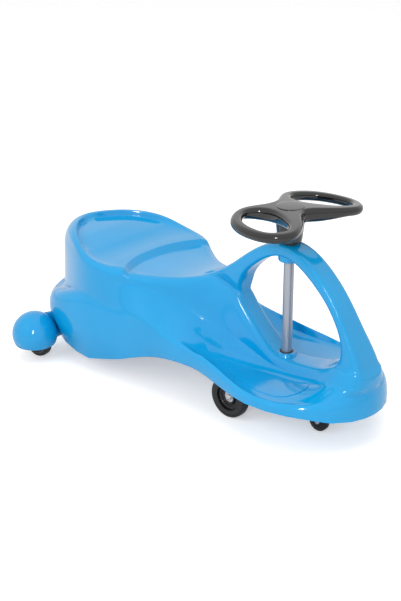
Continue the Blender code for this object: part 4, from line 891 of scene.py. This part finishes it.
@dataclass
class RearAxle:
    """Beam under the tail with a round cover over each wheel."""

    column_x: float
    behind: float = 0.5286
    wheel_y: float = 0.1570
    beam_z: float = 0.0550
    beam_r: float = 0.0180
    beam_half: float = 0.085
    cover_y: float = 0.1655
    cover_z: float = 0.0517
    cover_r: float = 0.0463
    cover_wall: float = 0.0032
    hem_z: float = 0.0310
    hem_round: float = 0.0006
    lip_drop: float = 0.0004
    pole_z: float = 0.0340
    dimple_r: float = 0.0095
    dimple_depth: float = 0.0022
    arm_depth: float = 0.0200
    arm_height: float = 0.0290
    arm_start: float = 0.058
    arm_end: float = 0.1310
    flare: float = 0.10
    flare_from: float = 0.108
    pin_start: float = 0.125
    pin_end: float = 0.204
    pin_r: float = 0.004

    @property
    def x(self) -> float:
        """The wheels' own axis, behind the steering axis."""
        return self.column_x - self.behind

    def cover(self, side: int) -> Mesh:
        """Dome turned about Z, hollow inside, with a shallow dimple on its outer side.

        The dimple moves points inwards by its depth times a smooth step of the distance
        from the wheel's axis.
        """
        inner = self.cover_r - self.cover_wall
        low = self.hem_z - self.cover_z
        outside = np.linspace(math.pi / 2, math.asin(low / self.cover_r), 40)
        inside = np.linspace(math.asin((low + self.hem_round) / inner), math.pi / 2, 32)
        dome, hollow = (radius * np.stack([np.cos(angle), np.sin(angle)], 1)
                        for radius, angle in ((self.cover_r, outside), (inner, inside)))
        lip = dome[-1:, 0] - 2 * self.hem_round, [low - self.lip_drop]
        dome[-1, 0] -= self.hem_round
        profile = np.vstack([dome, np.stack(lip, 1), hollow])
        local = spun(profile, 128)
        away = np.hypot(local[..., 0], local[..., 2] + self.cover_z - self.pole_z)
        dent = self.dimple_depth * (1 - smoothstep(self.dimple_r * 0.55, self.dimple_r, away))
        shell = np.arange(len(profile)) < len(dome)
        local[..., 1] -= side * dent * (shell[:, None] & (local[..., 1] * side > 0))
        points = local.reshape(-1, 3) + (self.x, side * self.cover_y, self.cover_z)
        return mesh_of(points, grid_quads(*local.shape[:2]))

    def arm(self, side: int) -> Mesh:
        """Oval neck from inside the body to the cover, flared where it meets the dome."""
        start, end = self.arm_start, self.arm_end
        y = np.concatenate([[start], np.linspace(start, end, 30), [end]])
        flare = 1 + self.flare * smoothstep(self.flare_from, end, y)
        flare[[0, -1]] = 0.0
        points = spun(np.stack([flare, side * y], 1), 72)[..., [0, 2, 1]]
        points = points * (self.arm_depth, 1, self.arm_height) + (self.x, 0, self.beam_z)
        return mesh_of(points.reshape(-1, 3), grid_quads(*points.shape[:2]))

    def build(self, blue: Material, zinc: Material) -> None:
        """Make the beam, arms, covers and pin rods."""
        bar = rounded(both_ways([(self.beam_r, self.beam_half, 0.001), (0, self.beam_half, 0)]))
        nodes = ["rear_axle_beam"]
        piece("rear_beam", turned(bar, 56, Axis.Y, (self.x, 0, self.beam_z)), blue, "car",
              nodes)
        for tag, side in SIDES:
            for name, mesh in (("cover", self.cover(side)), ("arm", self.arm(side))):
                piece(f"rear_{name}_{tag}", mesh, blue, "car", nodes)
            pin = rounded([(0, self.pin_start, 0), (self.pin_r, self.pin_start, 0.0006),
                           (self.pin_r, self.pin_end, 0), (0, self.pin_end, 0)])
            rod = turned(pin * (1, side), 40, Axis.Y, (self.x, 0, self.pole_z))
            piece(f"rear_pin_rod_{tag}", rod, zinc, "car", [f"rear_pin_{tag}"])


# ---------------------------------------------------------------- wheels


@dataclass
class Wheel:
    """Tyre on a dished hub, turned about Y."""

    place: str
    centre: Triple
    radius: float
    width: float
    hub_r: float
    bore_r: float

    def tyre(self) -> Mesh:
        """Tyre's ring: flat sides, round shoulders and a nearly flat tread."""
        half, inner, outer = self.width / 2, self.hub_r, self.radius
        ring = rounded([(inner, -half * 0.86, 0), (inner + 0.002, -half, 0.0015),
                        (outer - 0.001, -half, 0.0052), (outer, 0, 0.004),
                        (outer - 0.001, half, 0.0052), (inner + 0.002, half, 0.0015),
                        (inner, half * 0.86, 0)], steps=9)
        return turned(ring, 128, Axis.Y, self.centre, closed=True)

    def hub(self) -> Mesh:
        """Hub's ring: a rim under the tyre, a dished web with a step, and a boss."""
        half, web = self.width * 0.44, self.width * 0.05
        r, b = self.hub_r, self.bore_r
        side = [(r, half, 0), (r - 0.0030, half, 0.0008), (r - 0.0046, web + 0.0012, 0.0015),
                (0.66 * r + 0.34 * b, web + 0.0012, 0.0008), (0.62 * r + 0.38 * b, web, 0.0008),
                (b + 0.0040, web, 0.0015), (b + 0.0028, half * 0.62, 0.0008),
                (b, half * 0.62, 0)]
        ring = rounded(both_ways(side), steps=5)
        return turned(ring, 112, Axis.Y, self.centre, closed=True)

    def build(self, rubber: Material, plastic: Material) -> None:
        """Make the tyre and the hub."""
        end, tag = self.place.split("_")
        body = f"{end}_wheel_{tag}"
        piece(f"{self.place}_tread", self.tyre(), rubber, body,
              [f"{end}_tyre_{tag}"])
        piece(f"{self.place}_dish", self.hub(), plastic, body,
              [f"{end}_hub_{tag}"])


@dataclass
class TipRoller:
    """Small solid wheel ahead of the column, with a shallow ring pressed in each side."""

    tag: str
    centre: Triple
    # Half of the section: radius, half width, corner radius.
    side: tuple[Triple, ...] = (
        (0.0199, 0.0056, 0.0026), (0.0165, 0.0063, 0.0010), (0.0145, 0.0048, 0.0008),
        (0.0095, 0.0048, 0.0008), (0.0075, 0.0063, 0.0006), (0.0033, 0.0058, 0))

    def build(self, rubber: Material) -> None:
        """Make the wheel."""
        ring = rounded(both_ways(self.side))
        piece(f"tip_roller_{self.tag}", turned(ring, 88, Axis.Y, self.centre, closed=True),
              rubber, f"tip_wheel_{self.tag}", [f"tip_wheel_{self.tag}"])


# ---------------------------------------------------------------- steering


@dataclass
class SteeringWheel:
    """Flat steering wheel with two loops, a round hub and a tapered neck."""

    column_x: float
    top: float = 0.4083
    depth: float = 0.0270
    rim_depth: float = 0.0178
    droop: float = 0.0085
    droop_power: float = 1.5
    edge: float = 0.0078
    low_edge: float = 1.15
    high_edge: float = 0.9
    hub_reach: Pair = (0.02, 0.075)
    reach: float = 0.1330
    neck_top_r: float = 0.0270
    neck_bottom_r: float = 0.0225
    neck_bottom: float = 0.3435
    cap_r: float = 0.0264
    cap_top: float = 0.4094
    cap_base: float = 0.4044
    eye: Pair = (0.009, 0.079)
    turns: int = 288
    across: int = 7
    plan: Knots = (
        (-0.0430, 0.0), (-0.0455, 0.014), (-0.0530, 0.029), (-0.0610, 0.044),
        (-0.0655, 0.060), (-0.0640, 0.077), (-0.0570, 0.094), (-0.0450, 0.110),
        (-0.0270, 0.122), (-0.0050, 0.130), (0.0200, 0.133), (0.0450, 0.131),
        (0.0660, 0.122), (0.0800, 0.108), (0.0850, 0.090), (0.0800, 0.070),
        (0.0680, 0.049), (0.0530, 0.031), (0.0400, 0.015), (0.0340, 0.0))
    hole: Knots = (
        (-0.0445, 0.059), (-0.0460, 0.071), (-0.0385, 0.086), (-0.0225, 0.102),
        (0.0010, 0.112), (0.0260, 0.1155), (0.0450, 0.113), (0.0590, 0.102),
        (0.0640, 0.091), (0.0600, 0.080), (0.0490, 0.067), (0.0330, 0.0565),
        (0.0155, 0.0475), (-0.0030, 0.041), (-0.0210, 0.0405), (-0.0355, 0.0475))

    @staticmethod
    def closed_curve(knots: Knots, count: int) -> Points:
        """Evenly spaced points on a closed curve, a cubic in each span with matched slopes."""
        p = np.array(knots, float)
        t = np.linspace(0, 1, 24, endpoint=False)[None, :, None]
        a, b, c, d = (np.roll(p, shift, 0)[:, None, :] for shift in (1, 0, -1, -2))
        fine = 0.5 * (2 * b + (c - a) * t + (2 * a - 5 * b + 4 * c - d) * t ** 2
                      + (3 * b - a - 3 * c + d) * t ** 3)
        fine = fine.reshape(-1, 2)
        fine = np.vstack([fine, fine[:1]])
        walk = np.concatenate([[0], np.cumsum(np.hypot(*np.diff(fine, axis=0).T))])
        at = np.arange(count) * walk[-1] / count
        return np.stack([np.interp(at, walk, fine[:, k]) for k in (0, 1)], 1)

    @staticmethod
    def offset(points: Points, amount: float) -> Points:
        """Closed outline moved outwards along its own normals by an amount."""
        nxt = np.roll(points, -1, 0)
        step = nxt - np.roll(points, 1, 0)
        normal = np.stack([step[:, 1], -step[:, 0]], 1) / np.hypot(*step.T)[:, None]
        area = np.sum(points[:, 0] * nxt[:, 1] - nxt[:, 0] * points[:, 1])
        return points + normal * np.sign(area) * amount

    def reach_of(self, outline: Points, angle: Points) -> Points:
        """Distance from the loop's eye to an outline in each direction."""
        away = outline - np.array(self.eye)
        direction = np.arctan2(away[:, 1], away[:, 0])
        order = np.argsort(direction)
        return np.interp(angle, direction[order], np.hypot(*away.T)[order], period=FULL_TURN)

    def plate(self) -> Mesh:
        """Both loops and the hub as one closed surface.

        Round the eye of each loop, rays run from the hand hole's edge to the outer edge,
        or to the middle plane of the wheel where the two halves join. A section is carried
        along the rays: up the outer side with rounded edges, across the top, down inside
        and across below. The top falls with a power of the sideways distance.
        """
        angle = np.linspace(-math.pi, math.pi, self.turns, endpoint=False)
        mirrored = [(x, -y) for x, y in self.plan[1:-1]][::-1]
        outline = self.closed_curve([*self.plan, *mirrored], 2400)
        hole = self.closed_curve(self.hole, 1200)
        q = np.linspace(0, math.pi / 2, 7)
        low, high = self.low_edge * self.edge, self.high_edge * self.edge
        insets = np.concatenate([low * (1 - np.sin(q)), high * (1 - np.cos(q))])
        heights = np.concatenate([low * (1 - np.cos(q)),
                                  self.rim_depth - high * (1 - np.sin(q))])
        cut = np.linspace(0, 1, 61)[:, None]
        outer, inner = [], []
        for inset in insets:
            ring = self.offset(outline, -inset)
            half = ring[ring[:, 1] > 0.0]
            half = half[np.argsort(np.unwrap(np.arctan2(half[:, 1], half[:, 0])))]
            join = half[-1] * (1, 0) * (1 - cut) + half[0] * (1, 0) * cut
            outer.append(self.reach_of(np.vstack([half, join]), angle))
            inner.append(self.reach_of(self.offset(hole, inset), angle))
        share = np.linspace(0, 1, self.across)[1:-1, None]
        radius = np.vstack([outer, outer[-1] + (inner[-1] - outer[-1]) * share,
                            inner[::-1], inner[0] + (outer[0] - inner[0]) * share])
        flat = np.ones(self.across - 2)
        height = np.concatenate([heights, heights[-1] * flat, heights[::-1],
                                 heights[0] * flat])[:, None]
        x = self.eye[0] + radius * np.cos(angle)
        y = np.maximum(self.eye[1] + radius * np.sin(angle), 0.0)
        extra = (self.depth - self.rim_depth) * (1 - smoothstep(*self.hub_reach, y))
        fall = self.droop * np.minimum(y / self.reach, 1) ** self.droop_power
        z = self.top - (self.rim_depth + extra) * (1 - height / self.rim_depth) - fall
        left = np.stack([self.column_x + x, y, z], -1).reshape(-1, 3)
        faces = grid_quads(*radius.shape, close_rows=True)
        faces = faces[~np.all(left[faces][:, :, 1] < 2e-5, axis=1)]
        both = np.vstack([left, left * (1, -1, 1)])
        faces = np.vstack([faces, faces[:, ::-1] + len(left)])
        return mesh_of(both, faces, weld=3e-5, smooth_deg=60)

    def neck(self) -> Mesh:
        """Tapered neck that flares softly into the underside of the hub."""
        under = self.top - self.depth
        profile = rounded([
            (0, self.neck_bottom, 0), (self.neck_bottom_r, self.neck_bottom, 0.0015),
            (self.neck_top_r - 0.001, under - 0.004, 0.004),
            (self.neck_top_r + 0.003, under + 0.003, 0), (0, under + 0.003, 0)], steps=8)
        return turned(profile, 96, Axis.Z, (self.column_x, 0, 0))

    def cap(self) -> Mesh:
        """Round cap, slightly crowned, with a thin groove round it."""
        crown = np.linspace(1, 0, 10)[:, None]
        top = np.hstack([crown * (self.cap_r - 0.0012), self.cap_top - 0.0006 * crown ** 2])
        wall = [[0, self.cap_base], [self.cap_r, self.cap_base],
                [self.cap_r, self.cap_top - 0.0016],
                [self.cap_r - 0.0004, self.cap_top - 0.0009]]
        return turned(np.vstack([wall, top]), 96, Axis.Z, (self.column_x, 0, 0))

    def build(self, black: Material) -> None:
        """Make the steering wheel and its cap."""
        for name, mesh, node in (("loops", self.plate(), "steering_wheel"),
                                 ("neck", self.neck(), "steering_wheel"),
                                 ("cap", self.cap(), "hub_cap")):
            piece(f"steering_{name}", mesh, black, "steering", [node])


@dataclass
class Column:
    """Steel tube with a flanged bush in the arch and one in the deck."""

    x: float
    radius: float = 0.0095
    low: float = 0.0540
    high: float = 0.4000
    play: float = 0.0003
    bush_r: float = 0.0128
    flange_r: float = 0.0165
    # Bottom, flange's inner face and top of each bush.
    upper: Triple = (0.3045, 0.3390, 0.3432)
    lower: Triple = (0.0857, 0.0877, 0.1255)

    def build(self, steel: Material, nylon: Material) -> None:
        """Make the tube and the two bushes."""
        tube = rounded([(0, self.low, 0), (self.radius, self.low, 0.0005),
                        (self.radius, self.high, 0.0005), (0, self.high, 0)])
        centre = (self.x, 0, 0)
        piece("column_tube", turned(tube, 64, Axis.Z, centre), steel, "steering",
              ["steering_column"])
        bore, thin, wide = self.radius + self.play, self.bush_r, self.flange_r
        low, face, top = self.upper
        upper = [(bore, low, 0), (thin, low, 0.0005), (thin, face, 0), (wide, face, 0),
                 (wide, top, 0.0012), (bore, top, 0)]
        low, face, top = self.lower
        lower = [(bore, low, 0), (wide, low, 0.0005), (wide, face, 0), (thin, face, 0),
                 (thin, top, 0.0006), (bore, top, 0)]
        for place, corners, node in (("arch", upper, "upper"), ("deck", lower, "lower")):
            mesh = turned(rounded(corners), 64, Axis.Z, centre, closed=True)
            piece(f"{place}_bush", mesh, nylon, "car", [f"{node}_bush"])


@dataclass
class AxleSet:
    """Turned steel of the carriage: axles with round nuts, and the front bearings."""

    column_x: float
    behind: float = 0.0616
    ahead: float = 0.0991
    front_z: float = 0.0410
    tip_z: float = 0.0236
    front_y: float = 0.0872
    tip_y: float = 0.0223
    bearing_r: float = 0.0110
    bearing_half: float = 0.0035
    axle_half: float = 0.0956
    nut_low: float = 0.0910
    nut_r: float = 0.0062
    tip_half: float = 0.0304

    @property
    def front_x(self) -> float:
        """The front wheels' axis, behind the steering axis."""
        return self.column_x - self.behind

    @property
    def tip_x(self) -> float:
        """The tip rollers' axis, ahead of the steering axis."""
        return self.column_x + self.ahead

    def build(self, zinc: Material) -> None:
        """Make both axles and the two bearings."""
        nut, nut_r, tip, half = self.nut_low, self.nut_r, self.tip_half, self.bearing_half
        front_end = [(0.0040, nut, 0), (0.0049, nut, 0), (nut_r - 0.0002, nut + 0.0003, 0.0004),
                     (nut_r, nut + 0.0030, 0.0010), (0.0040, nut + 0.0036, 0.0004),
                     (0.0036, self.axle_half, 0.0007), (0, self.axle_half, 0)]
        tip_end = [(0.0030, tip - 0.0015, 0), (0.0055, tip - 0.0015, 0.0003),
                   (0.0055, tip - 0.0006, 0.0006), (0.0030, tip, 0.0006), (0, tip, 0)]
        for place, end, sides, x, z in (("front", front_end, 48, self.front_x, self.front_z),
                                        ("tip", tip_end, 40, self.tip_x, self.tip_z)):
            rod = turned(rounded(both_ways(end)), sides, Axis.Y, (x, 0, z))
            piece(f"{place}_axle_rod", rod, zinc, "steering", [f"{place}_axle"])
        race = [(self.bearing_r, half, 0.0005), (0.0092, half, 0.0004),
                (0.0088, half - 0.0007, 0), (0.0066, half - 0.0007, 0), (0.0062, half, 0.0004),
                (0.0043, half, 0.0003)]
        ring = rounded([(0.0043, -0.0001, 0), *both_ways(race), (0.0043, 0, 0)])
        for tag, side in SIDES:
            centre = (self.front_x, side * self.front_y, self.front_z)
            piece(f"bearing_{tag}", turned(ring, 72, Axis.Y, centre, closed=True), zinc,
                  f"front_wheel_{tag}", [f"front_bearing_{tag}"])


# ---------------------------------------------------------------- studio


@dataclass
class Studio:
    """Camera at the photograph's angle, soft lamps, pale floor and white surroundings."""

    azimuth: float = 42.976
    elevation: float = 22.761
    focal_px: float = 1287.4
    sensor_mm: float = 36.0
    distance: float = 2.5105
    aim_x: float = -0.0295
    aim_z: float = 0.1747
    shift_px: float = -5.795
    frame_px: int = 601
    lamp_aim_z: float = 0.15
    world_light: float = 0.55
    floor_side: float = 12.0
    floor_grey: float = 0.86
    floor_glow: float = 0.42
    # Name, place, width and height, watts, and whether it shows in gloss.
    lamps: tuple[tuple[str, Triple, Pair, float, bool], ...] = (
        ("key", (-0.9, -2.6, 2.0), (2.6, 1.8), 34, False),
        ("side", (2.6, -0.9, 1.2), (1.6, 1.6), 14, False),
        ("top", (0.0, 0.2, 2.9), (3.0, 2.4), 36, False),
        ("window", (1.3, -2.05, 1.35), (0.22, 0.70), 15, True))

    def camera(self) -> None:
        """Place the camera: its lens is the focal length over the long side, times the sensor."""
        data = bpy.data.cameras.new("camera")
        data.sensor_width = self.sensor_mm
        data.lens = self.focal_px * self.sensor_mm / self.frame_px
        data.shift_y = self.shift_px / self.frame_px
        cam = placed("camera", data)
        a, e = math.radians(self.azimuth), math.radians(self.elevation)
        back = np.array([math.sin(a) * math.cos(e), -math.cos(a) * math.cos(e), math.sin(e)])
        cam.location = np.array([self.aim_x, 0, self.aim_z]) + back * self.distance
        cam.rotation_euler = (math.pi / 2 - e, 0, a)
        bpy.context.scene.camera = cam

    def lamp(self, name: str, place: Triple, size: Pair, watts: float, mirrored: bool) -> None:
        """Soft rectangular lamp that points at the car and may show in its gloss."""
        data = bpy.data.lights.new(name, "AREA")
        data.shape = "RECTANGLE"
        data.size, data.size_y = size
        data.energy = watts
        lamp = placed(name, data)
        lamp.location = place
        x, y, z = place
        tilt = math.atan2(math.hypot(x, y), z - self.lamp_aim_z)
        lamp.rotation_euler = (tilt, 0, math.atan2(x, -y))
        lamp.visible_glossy = mirrored

    def surroundings(self) -> None:
        """World that is white for the camera, in gloss and through gaps, and grey as a light."""
        world = bpy.data.worlds.new("studio")
        bpy.context.scene.world = world
        world.use_nodes = True
        nodes, link = world.node_tree.nodes, world.node_tree.links.new
        nodes.clear()
        path = nodes.new("ShaderNodeLightPath").outputs
        mix = nodes.new("ShaderNodeMixShader")
        for slot, strength in ((1, self.world_light), (2, 1.0)):
            light = nodes.new("ShaderNodeBackground")
            light.inputs["Color"].default_value = (1, 1, 1, 1)
            light.inputs["Strength"].default_value = strength
            link(light.outputs[0], mix.inputs[slot])
        seen = path["Is Camera Ray"]
        for ray in ("Is Glossy Ray", "Is Transmission Ray"):
            either = nodes.new("ShaderNodeMath")
            either.operation = "MAXIMUM"
            link(seen, either.inputs[0])
            link(path[ray], either.inputs[1])
            seen = either.outputs[0]
        link(seen, mix.inputs["Fac"])
        link(mix.outputs[0], nodes.new("ShaderNodeOutputWorld").inputs["Surface"])

    def floor(self) -> None:
        """Large pale floor whose own brightness keeps it near white and keeps the shadow."""
        corners = self.floor_side * np.array([[-1, -1, 0], [1, -1, 0], [1, 1, 0], [-1, 1, 0]])
        floor = placed("floor", raw_mesh(corners, np.arange(4)[None, :]))
        kit = NodeKit("pale_floor")
        kit.set(kit.shader, Base_Color=(*[self.floor_grey] * 3, 1), Roughness=0.6,
                Specular_IOR_Level=0.1, Emission_Color=(1, 1, 1, 1))
        glow = kit.node("ShaderNodeMapRange", To_Max=self.floor_glow)
        path = kit.node("ShaderNodeLightPath")
        kit.link(path.outputs["Is Camera Ray"], glow.inputs["Value"])
        kit.link(glow.outputs["Result"], kit.shader.inputs["Emission Strength"])
        floor.data.materials.append(kit.material)

    def build(self) -> None:
        """Set up camera, lamps, world and floor."""
        self.camera()
        for lamp in self.lamps:
            self.lamp(*lamp)
        self.surroundings()
        self.floor()
        bpy.context.scene.view_settings.view_transform = "Standard"


def dress_nodes(names: Sequence[str], material: Material) -> None:
    """Give CAD nodes that stay in view a finish."""
    for name in names:
        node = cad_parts[name]
        node.data.materials.clear()
        node.data.materials.append(material)


def main() -> None:
    """Build every sub-assembly in order."""
    logging.basicConfig(level=logging.INFO, format="%(message)s")
    blue = MouldedPlastic("blue_plastic_skin", (0.001, 0.300, 0.630), gloss=0.11,
                          waves=0.00005, coat=0.2).build()
    black = MouldedPlastic("black_plastic_skin", (0.004, 0.004, 0.005), gloss=0.12,
                           waves=0.00003, drift=0.1, coat=0.5).build()
    hub = MouldedPlastic("hub_plastic_skin", (0.007, 0.007, 0.008), gloss=0.24).build()
    nylon = MouldedPlastic("bush_skin", (0.020, 0.020, 0.022), gloss=0.45).build()
    rubber = TyreSkin("tyre_skin", (0.006, 0.006, 0.0065)).build()
    steel = BrushedMetal("column_skin", (0.42, 0.43, 0.46), 0.34, 0.7, (1, 1, 0.03)).build()
    zinc = BrushedMetal("zinc_skin", (0.66, 0.66, 0.68), 0.28, 1.0, (1, 1, 1)).build()

    body = CarBody()
    body.build(blue)
    rear, axles = RearAxle(body.column_x), AxleSet(body.column_x)
    rear.build(blue, zinc)
    Column(body.column_x).build(steel, nylon)
    SteeringWheel(body.column_x).build(black)
    axles.build(zinc)
    for tag, side in SIDES:
        Wheel(f"front_{tag}", (axles.front_x, side * axles.front_y, axles.front_z),
              radius=0.0410, width=0.0198, hub_r=0.0290, bore_r=0.0113).build(rubber, hub)
        Wheel(f"rear_{tag}", (rear.x, side * rear.wheel_y, rear.pole_z),
              radius=0.0340, width=0.0180, hub_r=0.0250, bore_r=0.0043).build(rubber, hub)
        TipRoller(tag, (axles.tip_x, side * axles.tip_y, axles.tip_z)).build(rubber)
    dress_nodes(["carriage_bracket"], hub)
    screws = ["thrust_washer", "wheel_bolt", "carriage_bolt", "beam_screw_L", "beam_screw_R"]
    dress_nodes(screws, zinc)
    Studio().build()


if __name__ == "__main__":
    main()
